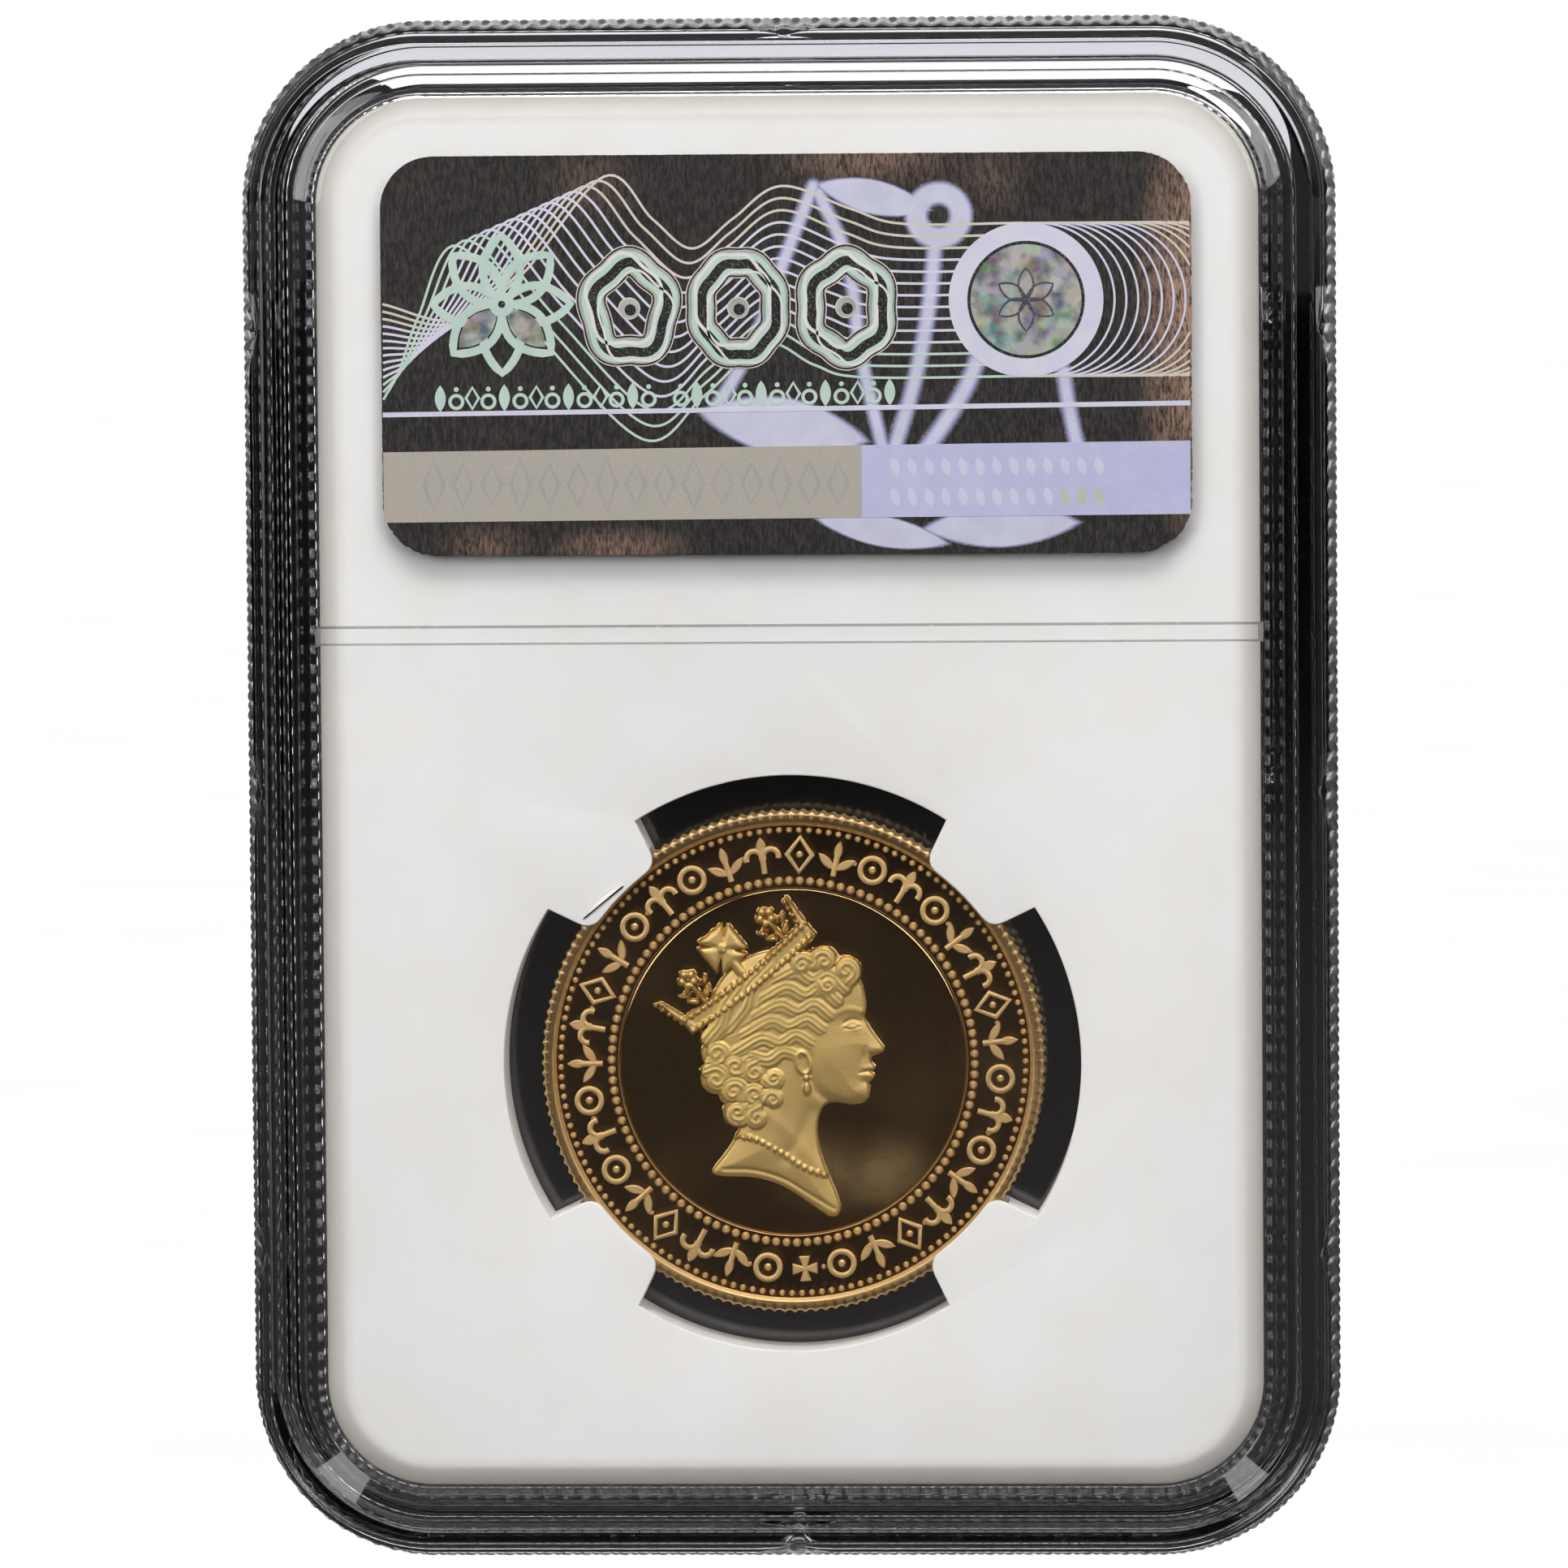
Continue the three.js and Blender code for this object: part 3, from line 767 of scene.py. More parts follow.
def weld_step(outer, inner, level):
    """The corners of a step in the weld face: a tongue where the level is below it, or a groove."""
    return [(outer, WELD_GAP, 0, 0, 0), (outer, level, 0.1, 0, 0),
            (inner, level, 0.1, 0, 0), (inner, WELD_GAP, 0, 0, 0)]


def add_shells():
    """Both halves of the case. The front one's scallops stand between the rear one's."""
    plastic = [
        clear_plastic("clear_polystyrene", 0.0, 0.05),
        clear_plastic("grip_polystyrene", 0.28, 0.4),
        # Painted shade: the rib's edges get a dark grey plastic that draws its shaded lines.
        clear_plastic("rib_edge_painted_shade_polystyrene", 0.2, 0.3, (0.17, 0.17, 0.18)),
    ]
    tongue = weld_step(TONGUE_OUTER_INSET, TONGUE_INNER_INSET, -TONGUE_HEIGHT)
    groove = weld_step(TONGUE_OUTER_INSET - GROOVE_CLEARANCE, TONGUE_INNER_INSET + GROOVE_CLEARANCE,
                       TONGUE_HEIGHT + GROOVE_CLEARANCE)
    rear = half_case("rear_shell_clear", tongue, 0.0)
    add_piece("rear_shell_clear", rear, plastic, "case", "rear_shell")
    front = half_case("front_shell_clear", groove, pi)
    front.transform(Matrix.Rotation(pi, 4, "Y"))
    add_piece("front_shell_clear", front, plastic, "case", "front_shell")


# ---- The white holder ----

def polar(radius, angle):
    return np.array([radius * cos(angle), radius * sin(angle)])


def bend(first, corner, last, steps=6):
    """A quadratic curve that rounds off a corner."""
    t = np.linspace(0, 1, steps)[:, None]
    return first * (1 - t) ** 2 + corner * 2 * t * (1 - t) + last * t**2


def aperture_outline():
    """The opening round the coin: a gap's outer arc and then the next prong, four times over."""
    parts = []
    tip_reach = PRONG_TIP_ANGLE - PRONG_CORNER / PRONG_TIP_RADIUS
    for quarter in range(4):
        prong = (quarter + 0.5) * pi / 2
        gap_start = prong - pi / 2 + PRONG_ROOT_ANGLE
        parts.append(arc(0, 0, APERTURE_RADIUS, gap_start, prong - PRONG_ROOT_ANGLE, 60))
        sides = []
        for side in (-1, 1):
            root = polar(APERTURE_RADIUS, prong + side * PRONG_ROOT_ANGLE)
            corner = polar(PRONG_TIP_RADIUS, prong + side * PRONG_TIP_ANGLE)
            above = corner + (root - corner) * PRONG_CORNER / np.linalg.norm(root - corner)
            on_tip = polar(PRONG_TIP_RADIUS, prong + side * tip_reach)
            sides.append(bend(above, corner, on_tip))
        parts.append(sides[0])
        parts.append(arc(0, 0, PRONG_TIP_RADIUS, prong - tip_reach, prong + tip_reach, 12)[1:-1])
        parts.append(sides[1][::-1])
    return np.concatenate(parts) + (0, COIN_Y)


def carve(mesh, cutter):
    """Cuts one closed mesh out of another."""
    scene = bpy.context.collection.objects
    body = bpy.data.objects.new("carved", mesh)
    tool = bpy.data.objects.new("cutter", cutter)
    scene.link(body)
    scene.link(tool)
    modifier = body.modifiers.new("cut", "BOOLEAN")
    modifier.operation = "DIFFERENCE"
    modifier.solver = "EXACT"
    modifier.object = tool
    carved = bpy.data.meshes.new_from_object(body.evaluated_get(bpy.context.evaluated_depsgraph_get()))
    bpy.data.objects.remove(body)
    bpy.data.objects.remove(tool)
    return carved


def mesh_of(name, points_and_faces):
    """A flat mesh of one body."""
    builder = Builder()
    builder.add(*points_and_faces)
    return builder.mesh(name)


def holder_blank():
    """The holder before anything is cut from it: a plate with soft shoulders and a thinner edge."""
    inset, top = HALF_WIDTH - HOLDER.width / 2, HOLDER.rear
    upper = [
        (inset + 2.0, top, 0, 0, 0),
        (inset + 1.7, top, 0, 0, 0),
        (inset + HOLDER_EDGE_STEP, top, 0.9, 0, 0),
        (inset, HOLDER_EDGE_HALF_THICKNESS, 0.12, 0, 0),
    ]
    corners = upper + [(edge, -z, *rest) for edge, z, *rest in reversed(upper)]
    rings = [shell_ring(edge, z)[::4] for edge, z, *_ in filleted(corners, 4)]
    return mesh_of("holder_blank", stacked(rings))


def aperture_cutter():
    """The opening right through the holder, flared at both faces so that its edges are rounded."""
    outline = aperture_outline()
    fillet, top = 0.09, HOLDER.rear
    profile = [(fillet + 0.05, top + 1), (fillet, top)]
    for lift in np.linspace(radians(67.5), 0, 4):
        profile.append((fillet * (1 - cos(lift)), top - fillet * (1 - sin(lift))))
    profile += [(offset, -z) for offset, z in reversed(profile)]
    return mesh_of("aperture", stacked([at_height(grown(outline, offset), z) for offset, z in profile]))


def add_holder():
    """The holder, cut through for the coin, with a slot for its edge and a pocket for the card."""
    slot_ring = circle(0, COIN_Y, SLOT_RADIUS, 192)
    slot = mesh_of("slot", prism(slot_ring, -SLOT_HALF_HEIGHT, SLOT_HALF_HEIGHT))
    pocket_outline = rounded_rectangle(0, CARD.centre_y, CARD.width + 0.6, CARD.height + 0.6, 3)
    pocket = mesh_of("pocket", prism(pocket_outline, HOLDER.front - 1, CARD.rear))
    mesh = holder_blank()
    for cutter in (aperture_cutter(), slot, pocket):
        mesh = carve(mesh, cutter)
    mesh.materials.clear()
    material = soft_white()
    add_painted_edge_shade(mesh)
    add_piece("coin_holder_soft", mesh, [material], "case", "coin_holder", 24)
    add_prong_crease(material)


def add_painted_edge_shade(mesh):
    """Marks how near the holder's outer edge each point is, for painted shade: 1 at the edge, 0 a little
    way in.
    """
    points = np.empty(len(mesh.vertices) * 3)
    mesh.vertices.foreach_get("co", points)
    x, y = np.abs(points[0::3]), np.abs(points[1::3] - HALF_HEIGHT)
    past_x = x - (HALF_WIDTH - CORNER_RADIUS)
    past_y = y - (HALF_HEIGHT - CORNER_RADIUS)
    in_corner = np.hypot(np.maximum(past_x, 0), np.maximum(past_y, 0))
    inset = CORNER_RADIUS - in_corner - np.minimum(np.maximum(past_x, past_y), 0)
    edge = HALF_WIDTH - HOLDER.width / 2
    mark(mesh, "edge", np.clip((edge + 1.7 - inset) / 1.6, 0, 1))


def add_prong_crease(material):
    """A small crescent where the rear face of one prong has been pushed up, with a painted shadow line at
    its foot.
    """
    upper = curve_through([(-11.75, 8.15), (-11.1, 9.0), (-10.2, 9.75), (-9.35, 10.1)])
    lower = curve_through([(-9.35, 10.1), (-10.05, 9.45), (-10.95, 8.65), (-11.75, 8.15)])
    outline = np.concatenate([upper[:-1], lower[:-1]])[::-1] + (0, COIN_Y)
    mesh = mesh_of("prong_crease", prism(outline, HOLDER.rear - 0.05, HOLDER.rear + 0.08, 0.07))
    # Painted shadow: the crease's foot is marked so that the holder's material greys it into a soft shadow
    # line.
    mark(mesh, "edge", [0.8 if vert.co.z < HOLDER.rear + 0.02 else 0.0 for vert in mesh.vertices])
    add_piece("prong_crease", mesh, [material], "case", "coin_holder", 60)


# ---- The coin ----

def on_coin(points):
    """Points drawn about the coin's centre, turned as the coin sits and put in its place."""
    points = np.asarray(points, float)
    return np.column_stack([moved(points[:, :2], 0, COIN_Y, COIN_TURN), points[:, 2]])


def coin_ring_body(builder):
    """The turned ring with its reeded edge: frosted metal (0), polished fields (1) and flat rims (2)."""
    reeds, steps = 152, 8
    angles = np.arange(reeds * steps) * 2 * pi / (reeds * steps)
    valley = (0.5 - 0.5 * np.cos(reeds * angles)) ** 0.7
    bore = SEAM_RADIUS + 0.03
    half = [
        (bore, 0.3, 0, 0), (bore, RING_FIELD - 0.04, 0, 0), (bore + 0.04, RING_FIELD, 0, 1),
        (13.36, RING_FIELD, 0, 0), (13.40, RING_FIELD + 0.03, 0, 0),
        (13.52, RIM_TOP - 0.03, 0, 0), (13.58, RIM_TOP, 0, 2),
        (COIN_RADIUS - 0.20, RIM_TOP, 0.3, 0), (COIN_RADIUS - 0.05, RIM_TOP - 0.08, 0.8, 0),
        (COIN_RADIUS, RIM_TOP - 0.25, 1, 0),
    ]
    polished = [slot for *_, slot in half] + [0] + [slot for *_, slot in reversed(half[:-1])]
    profile = half + [(radius, -z, reed, 0) for radius, z, reed, _ in reversed(half)]
    count = len(angles)
    points = []
    for radius, z, reed, _ in profile:
        reach = radius - 0.15 * reed * valley
        points.append(np.column_stack([reach * np.cos(angles), reach * np.sin(angles), np.full(count, z)]))
    first = len(builder.points)
    builder.add(np.concatenate(points), [])
    for level, slot in enumerate(polished):
        following = (level + 1) % len(profile)
        for here in range(count):
            after = (here + 1) % count
            corners = [level * count + here, following * count + here,
                       following * count + after, level * count + after]
            builder.faces.append([first + corner for corner in corners])
            builder.slots.append(slot)


def leaf(length, width, steps=8):
    """A pointed leaf outline, anticlockwise, along +y from its stalk."""
    t = np.linspace(0, 1, steps)
    side = width / 2 * np.sin(pi * t) ** 0.8
    right = np.column_stack([side, length * t])
    left = np.column_stack([-side, length * t])[::-1][1:-1]
    return np.concatenate([right, left])


def cross_outline(size):
    """A small cross with flared arms, anticlockwise."""
    narrow, wide = 0.19 * size, 0.45 * size
    arm = np.array([(size, -wide), (size, wide), (narrow, narrow)])
    return np.concatenate([moved(arm, 0, 0, quarter * pi / 2) for quarter in range(4)])


def band_ornament(kind):
    """One ornament of the coin's outer band: its strokes, its solid shapes and its dots' radii."""
    if kind == "cross":
        return [], [cross_outline(0.62)], []
    if kind == "fleuron":
        curls = [arc(side * 0.42, -0.05, 0.38, pi / 2 - side * 1.9, pi / 2 + side * 1.9, 12)
                 for side in (-1, 1)]
        return curls + [[(0, -0.85), (0, 0.2)]], [leaf(0.95, 0.5)], []
    if kind == "ring":
        return [circle(0, 0, 0.6, 20)], [], [0.2]
    if kind == "sprig":
        leaves = [moved(leaf(1.15, 0.42), 0, -0.55, side * 0.95) for side in (-1, 1)]
        return [[(0, -0.85), (0, 0.3)]], leaves + [moved(leaf(1.0, 0.42), 0, -0.1)], []
    return [[(0.62, 0), (0, 0.85), (-0.62, 0), (0, -0.85)]], [], [0.18]


def coin_band(builder, side):
    """The ornaments between the two rings of beads, with a dot after every third."""
    kinds = ["fleuron", "ring", "sprig", "diamond", "fleuron", "sprig", "ring"]
    places, middle, field = 35, 11.72, RING_FIELD
    for index in range(places):
        angle = -pi / 2 + radians(0.5) + side * 2 * pi * index / places
        kind = kinds[index % len(kinds)] if index else "cross"
        strokes, shapes, dots = band_ornament(kind)
        closed = kind in ("ring", "diamond")
        parts = [prism(shape, field - 0.05, field + 0.17, 0.05) for shape in shapes]
        parts += [ribbon(path, 0.27, field - 0.05, field + 0.13, closed, 0.05) for path in strokes]
        parts += [dome(radius, field, 0.15) for radius in dots]
        for points, faces in parts:
            points = np.asarray(points, float) * (1.14, 1.14, 1)
            add_struck(builder, (points, faces), middle, angle, angle - pi / 2, side)
        if index % 3 == 0:
            add_struck(builder, dome(0.15, field, 0.13), middle, angle + side * pi / places, 0, side)


def add_struck(builder, points_and_faces, reach, angle, turn, side):
    """Adds a raised shape to one face of the coin, at a polar place: side 1 is the rear, -1 the front."""
    points, faces = np.array(points_and_faces[0], float), points_and_faces[1]
    flat = moved(points[:, :2], reach * cos(angle), reach * sin(angle), turn)
    points = np.column_stack([flat, side * points[:, 2]])
    builder.add(points, faces if side > 0 else [face[::-1] for face in faces])


def coin_beads(builder, side):
    """The two rings of beads. Each is given by its count, its radius and its beads' radius."""
    for count, reach, radius in ((147, 13.10, 0.18), (110, 10.24, 0.25)):
        for index in range(count):
            angle = 2 * pi * index / count
            add_struck(builder, dome(radius, RING_FIELD, radius * 0.85), reach, angle, angle, side)


def add_coin_ring(metals):
    """The ring with its reeding, beads and ornaments, struck on both faces."""
    builder = Builder()
    coin_ring_body(builder)
    for side in (1, -1):
        coin_beads(builder, side)
        coin_band(builder, side)
    builder.points = [tuple(point) for point in on_coin(builder.points)]
    mesh = builder.mesh("coin_ring_struck")
    add_piece("coin_ring_struck", mesh, metals, "coin", "coin_ring")


# ---- Relief on the coin's centre, as distances in the plane ----

# An inside_ function gives how far inside its shape each point is, and less than 0 outside it.

def gentle(value):
    """A smooth step: 0 up to 0, and 1 from 1 on."""
    value = np.clip(value, 0, 1)
    return value * value * (3 - 2 * value)


def inside_circle(x, y, cx, cy, radius):
    return radius - np.hypot(x - cx, y - cy)


def own_axes(x, y, cx, cy, turn):
    """Coordinates about a centre, along axes turned by an angle."""
    return (x - cx) * cos(turn) + (y - cy) * sin(turn), -(x - cx) * sin(turn) + (y - cy) * cos(turn)


def inside_ellipse(x, y, cx, cy, rx, ry, turn=0.0):
    u, v = own_axes(x, y, cx, cy, turn)
    level = np.hypot(u / rx, v / ry)
    slope = np.hypot(u / rx**2, v / ry**2) + 1e-9
    return level * (1 - level) / slope * np.where(level > 0, 1, 0) + (level < 1e-6) * min(rx, ry)


def inside_line(x, y, ax, ay, bx, by, start_radius, end_radius=None):
    """Distance inside a tapered stroke."""
    end_radius = start_radius if end_radius is None else end_radius
    length = (bx - ax) ** 2 + (by - ay) ** 2
    t = np.clip(((x - ax) * (bx - ax) + (y - ay) * (by - ay)) / length, 0, 1)
    reach = start_radius + (end_radius - start_radius) * t
    return reach - np.hypot(x - ax - t * (bx - ax), y - ay - t * (by - ay))


def inside_polygon(x, y, outline):
    nearest = np.full(x.shape, 1e9)
    within = np.zeros(x.shape, bool)
    for (ax, ay), (bx, by) in zip(outline, np.roll(outline, -1, axis=0)):
        nearest = np.maximum(-inside_line(x, y, ax, ay, bx, by, 0.0), 0).clip(None, nearest)
        crosses = (ay > y) != (by > y)
        with np.errstate(divide="ignore", invalid="ignore"):
            at = (bx - ax) * (y - ay) / (by - ay) + ax
        within ^= crosses & (x < at)
    return np.where(within, nearest, -nearest)


def swell(x, y, cx, cy, rx, ry, turn=0.0):
    """A soft mound, 1 at its top."""
    u, v = own_axes(x, y, cx, cy, turn)
    return np.exp(-(u / rx) ** 2 - (v / ry) ** 2)


def stroke(x, y, points, width):
    """1 along a curve through a few points, falling softly to 0 beside it."""
    path = curve_through(points, 5)
    best = np.full(x.shape, -1e9)
    for (ax, ay), (bx, by) in zip(path, path[1:]):
        best = np.maximum(best, inside_line(x, y, ax, ay, bx, by, 0.0))
    return np.exp(-(best / width) ** 2)


def pearl_string(x, y, points, spacing, radius):
    """Small round beads threaded along a curve."""
    path = curve_through(points, 40)
    steps = run_along(path)
    string = np.full(x.shape, -9.0)
    for place in np.linspace(0, steps[-1], int(steps[-1] / spacing)):
        cx, cy = np.interp(place, steps, path[:, 0]), np.interp(place, steps, path[:, 1])
        string = np.maximum(string, inside_circle(x, y, cx, cy, radius))
    return string


# The head is drawn in its own frame, then enlarged and moved on to the coin.
HEAD_SCALE = 1.12
HEAD_PLACE = (0.45, -0.45)

# A plain classical profile, drawn to the usual thirds: hairline, brow, base of the nose, chin.
PROFILE = [
    (1.9, 5.9), (2.7, 5.1), (3.22, 4.2), (3.42, 3.4), (3.40, 2.85), (3.30, 2.5), (3.52, 2.0),
    (3.86, 1.45), (4.18, 0.98), (4.16, 0.74), (3.80, 0.58), (3.56, 0.48), (3.55, 0.22), (3.72, 0.0),
    (3.66, -0.16), (3.50, -0.24), (3.64, -0.40), (3.58, -0.62), (3.36, -0.82), (3.40, -1.15),
    (3.30, -1.55), (2.95, -1.84), (2.35, -1.86), (1.55, -1.72), (1.00, -1.95), (0.72, -2.6),
    (0.66, -3.4), (0.78, -4.3), (1.08, -5.3), (1.45, -6.3), (1.62, -7.05), (1.42, -7.45), (1.0, -7.45),
]
TRUNCATION = [(0.1, -6.75), (-1.2, -5.85), (-2.6, -5.35), (-4.2, -5.2), (-4.72, -5.0), (-4.55, -4.65),
              (-3.9, -3.9), (-3.4, -3.1), (-3.1, -2.2), (-2.9, -1.0), (-2.6, 1.0), (-1.6, 4.6), (0.2, 6.0)]
JAW = [(0.35, 0.9), (0.55, -0.3), (1.15, -1.15), (2.1, -1.55), (3.0, -1.6)]

# Each lock of hair: points along its middle, then its half-width at the root and at the tip.
LOCKS = [
    ([(-1.5, 5.1), (-2.4, 4.2), (-2.7, 3.3), (-3.5, 2.4)], 0.60, 0.50),
    ([(-3.1, 4.0), (-3.7, 3.2), (-3.9, 2.5), (-4.5, 1.8)], 0.60, 0.50),
    ([(2.3, 4.1), (1.6, 4.75), (0.8, 4.45), (0.0, 4.95), (-0.9, 4.6)], 0.46, 0.50),
    ([(1.9, 3.45), (1.2, 4.05), (0.4, 3.7), (-0.5, 4.15), (-1.5, 3.7)], 0.42, 0.50),
    ([(1.45, 2.75), (0.8, 3.25), (0.0, 2.9), (-0.9, 3.3), (-2.0, 2.8)], 0.42, 0.50),
    ([(1.05, 2.05), (0.4, 2.5), (-0.5, 2.15), (-1.4, 2.5), (-2.6, 1.9)], 0.40, 0.50),
    ([(0.5, 1.35), (-0.2, 1.75), (-1.0, 1.35), (-1.9, 1.65), (-3.0, 1.1)], 0.38, 0.48),
    ([(-0.2, 0.75), (-0.9, 0.95), (-1.6, 0.55), (-2.4, 0.75)], 0.36, 0.42),
]
# Each curl: its middle, its radius and the way it winds.
CURLS = [
    (-4.2, 1.0, 0.80, 1), (-3.3, 0.35, 0.78, -1), (-4.3, -0.25, 0.80, -1), (-2.35, 0.0, 0.68, 1),
    (-3.45, -0.95, 0.80, 1), (-2.4, -1.15, 0.72, -1), (-1.4, -0.35, 0.62, 1), (-3.3, -2.0, 0.76, -1),
    (-2.35, -2.3, 0.68, 1), (-1.5, -1.45, 0.60, -1), (2.5, 4.9, 0.74, 1), (1.4, 5.45, 0.74, -1),
    (1.55, 4.25, 0.60, 1), (0.3, 5.3, 0.66, 1),
]
EAR = (0.12, 0.35)

# The modelling of the face and neck: how far each feature rises, its kind, and where it is.
FEATURES = (
    (0.05, swell, (1.9, 0.7, 1.1, 0.9)),  # cheek
    (0.045, swell, (3.0, -1.2, 0.45, 0.4)),  # chin
    (-0.08, stroke, ([(px - 0.05, py - 0.32) for px, py in JAW], 0.26)),  # under the jaw
    (0.035, stroke, ([(1.75, 2.72), (2.5, 2.95), (3.2, 2.78)], 0.17)),  # brow
    (-0.06, swell, (2.7, 2.25, 0.55, 0.26)),  # eye socket
    (0.065, swell, (2.72, 2.05, 0.34, 0.2, -0.15)),  # eyeball
    (-0.035, stroke, ([(2.3, 2.0), (2.65, 1.93), (3.02, 2.05)], 0.045)),  # under the lower lid
    (0.03, stroke, ([(2.28, 2.08), (2.65, 2.28), (3.04, 2.14)], 0.05)),  # upper lid
    (-0.03, stroke, ([(2.25, 2.25), (2.65, 2.46), (3.05, 2.34)], 0.05)),  # fold over the lid
    (0.05, swell, (3.62, 0.82, 0.24, 0.2)),  # wing of the nose
    (-0.04, stroke, ([(3.32, 1.0), (3.36, 0.75), (3.55, 0.6)], 0.06)),  # behind the wing
    (-0.025, stroke, ([(3.2, 0.6), (2.98, 0.2), (2.92, -0.1)], 0.14)),  # beside the mouth
    (-0.05, stroke, ([(3.5, -0.24), (3.2, -0.24), (2.92, -0.30)], 0.05)),  # between the lips
    (0.03, swell, (3.35, -0.08, 0.3, 0.12)),  # upper lip
    (0.035, swell, (3.3, -0.44, 0.28, 0.13)),  # lower lip
    (-0.03, stroke, ([(3.4, -0.72), (3.15, -0.76)], 0.12)),  # over the chin
    (-0.045, stroke, ([(0.4, -2.1), (-0.2, -3.3), (-1.1, -4.5)], 0.35)),  # hollow of the neck
    (0.04, stroke, ([(-1.7, -2.2), (-0.5, -3.5), (0.6, -5.0)], 0.4)),  # muscle of the neck
)


def face_height(x, y):
    """The face and neck, and how far inside their outline each point is."""
    outline = np.concatenate([curve_through(PROFILE, 5), curve_through(TRUNCATION, 5)])
    inside = inside_polygon(x, y, outline)
    height = 0.13 * gentle(inside / 0.1) + 0.24 * (1 - np.exp(-np.clip(inside, 0, None) / 1.1))
    for rise, kind, numbers in FEATURES:
        height += rise * kind(x, y, *numbers)
    ear_x, ear_y = EAR
    lobe = inside_ellipse(x, y, ear_x, ear_y, 0.42, 0.66, 0.2)
    height += 0.09 * np.exp(-((lobe - 0.1) / 0.1) ** 2) + 0.03 * gentle(lobe / 0.1)
    return height, inside


def lock_of_hair(x, y, path, root, tip):
    """How far inside a lock each point is, as a share of its half-width, and how far across it."""
    path = curve_through(path, 6)
    inside, across = np.full(x.shape, -9.0), np.zeros(x.shape)
    count = len(path) - 1
    for index, ((ax, ay), (bx, by)) in enumerate(zip(path, path[1:])):
        length = hypot(bx - ax, by - ay)
        t = np.clip(((x - ax) * (bx - ax) + (y - ay) * (by - ay)) / length**2, 0, 1)
        half = root + (tip - root) * (index + t) / count
        reach = np.hypot(x - ax - t * (bx - ax), y - ay - t * (by - ay))
        share = 1 - reach / half
        side = ((x - ax) * (by - ay) - (y - ay) * (bx - ax)) / length
        take = share > inside
        inside = np.where(take, share, inside)
        across = np.where(take, side, across)
    return inside, across


def curl_path(cx, cy, radius, way):
    """A spiral from the outside of a curl in to its middle."""
    t = np.linspace(0, 1, 12)
    turn = way * (2.6 * pi * t + cx * 2)
    reach = radius * (0.66 - 0.56 * t)
    return np.column_stack([cx + reach * np.cos(turn), cy + reach * np.sin(turn)])


def hair_height(x, y):
    """Short waved hair: locks swept back from the brow, with curls behind and at the nape."""
    base = inside_ellipse(x, y, -0.9, 2.5, 3.7, 3.6)
    for cx, cy, radius, _ in CURLS:
        base = np.maximum(base, inside_circle(x, y, cx, cy, radius))
    front = np.array([(3.3, 4.6), (2.4, 3.9), (1.6, 3.0), (1.1, 2.1), (0.5, 1.25), (-0.35, 0.6),
                      (-0.75, -0.5), (-1.1, -1.6), (-1.7, -2.6)])
    face_side = np.concatenate([curve_through(front, 4), [(-1.6, -9), (7, -9), (7, 7)]])
    inside = np.minimum(base, -inside_polygon(x, y, face_side))
    height = 0.16 * gentle(inside / 0.1) + 0.24 * (1 - np.exp(-np.clip(inside, 0, None) / 0.8))
    locks = LOCKS + [(curl_path(*curl), curl[2] * 0.5, curl[2] * 0.26) for curl in CURLS]
    for order, (path, root, tip) in enumerate(locks):
        share, across = lock_of_hair(x, y, path, root, tip)
        strands = 0.5 + 0.5 * np.cos(2 * pi * across / 0.25)
        lock = 0.31 + 0.070 * np.sqrt(np.clip(share, 0, 1)) + 0.024 * strands * gentle(share / 0.25)
        height = np.where(share > 0, np.maximum(height * 0.94, lock + 0.002 * order), height)
        inside = np.maximum(inside, share * root)
    return height, inside


# The crown has its own axes: u along the foot of its band from the left end, and v up from it.
CROWN_LEFT, CROWN_RIGHT = (-5.5, 1.85), (1.6, 7.05)
CROWN_ANGLE = atan2(CROWN_RIGHT[1] - CROWN_LEFT[1], CROWN_RIGHT[0] - CROWN_LEFT[0])
CROWN_LENGTH = hypot(CROWN_RIGHT[0] - CROWN_LEFT[0], CROWN_RIGHT[1] - CROWN_LEFT[1])


def crown_band(u, v):
    """The bowed band with its two rows of pearls."""
    bow = v - 0.014 * (u - CROWN_LENGTH / 2) ** 2 + 0.27
    band = np.minimum(np.minimum(bow, 1.15 - bow), np.minimum(u + 0.1, CROWN_LENGTH + 0.1 - u))
    height = 0.34 * gentle(band / 0.07)
    for row in (0.20, 0.95):
        pearl = (u + 0.12) % 0.42 - 0.21
        height += 0.24 * gentle((0.19 - np.hypot(pearl, bow - row)) / 0.12) * (band > 0)
    return height, band


def crown_cross(u, v):
    """The flared cross over the middle, on its foot, with a boss where its arms meet."""
    across, up = np.abs(u - CROWN_LENGTH / 2 + 0.1), np.abs(v - 2.75)
    arms = np.minimum(0.22 + 0.62 * up - across, 1.15 - up)
    arms = np.maximum(arms, np.minimum(0.22 + 0.62 * across - up, 1.15 - across))
    foot = np.minimum(0.32 - across, np.minimum(v - 0.7, 2.2 - v))
    cross = np.maximum(arms, foot)
    boss = 0.07 * gentle((0.3 - np.hypot(across, up)) / 0.1)
    return 0.36 * gentle(cross / 0.09) + 0.08 * gentle(cross / 0.4) + boss, cross


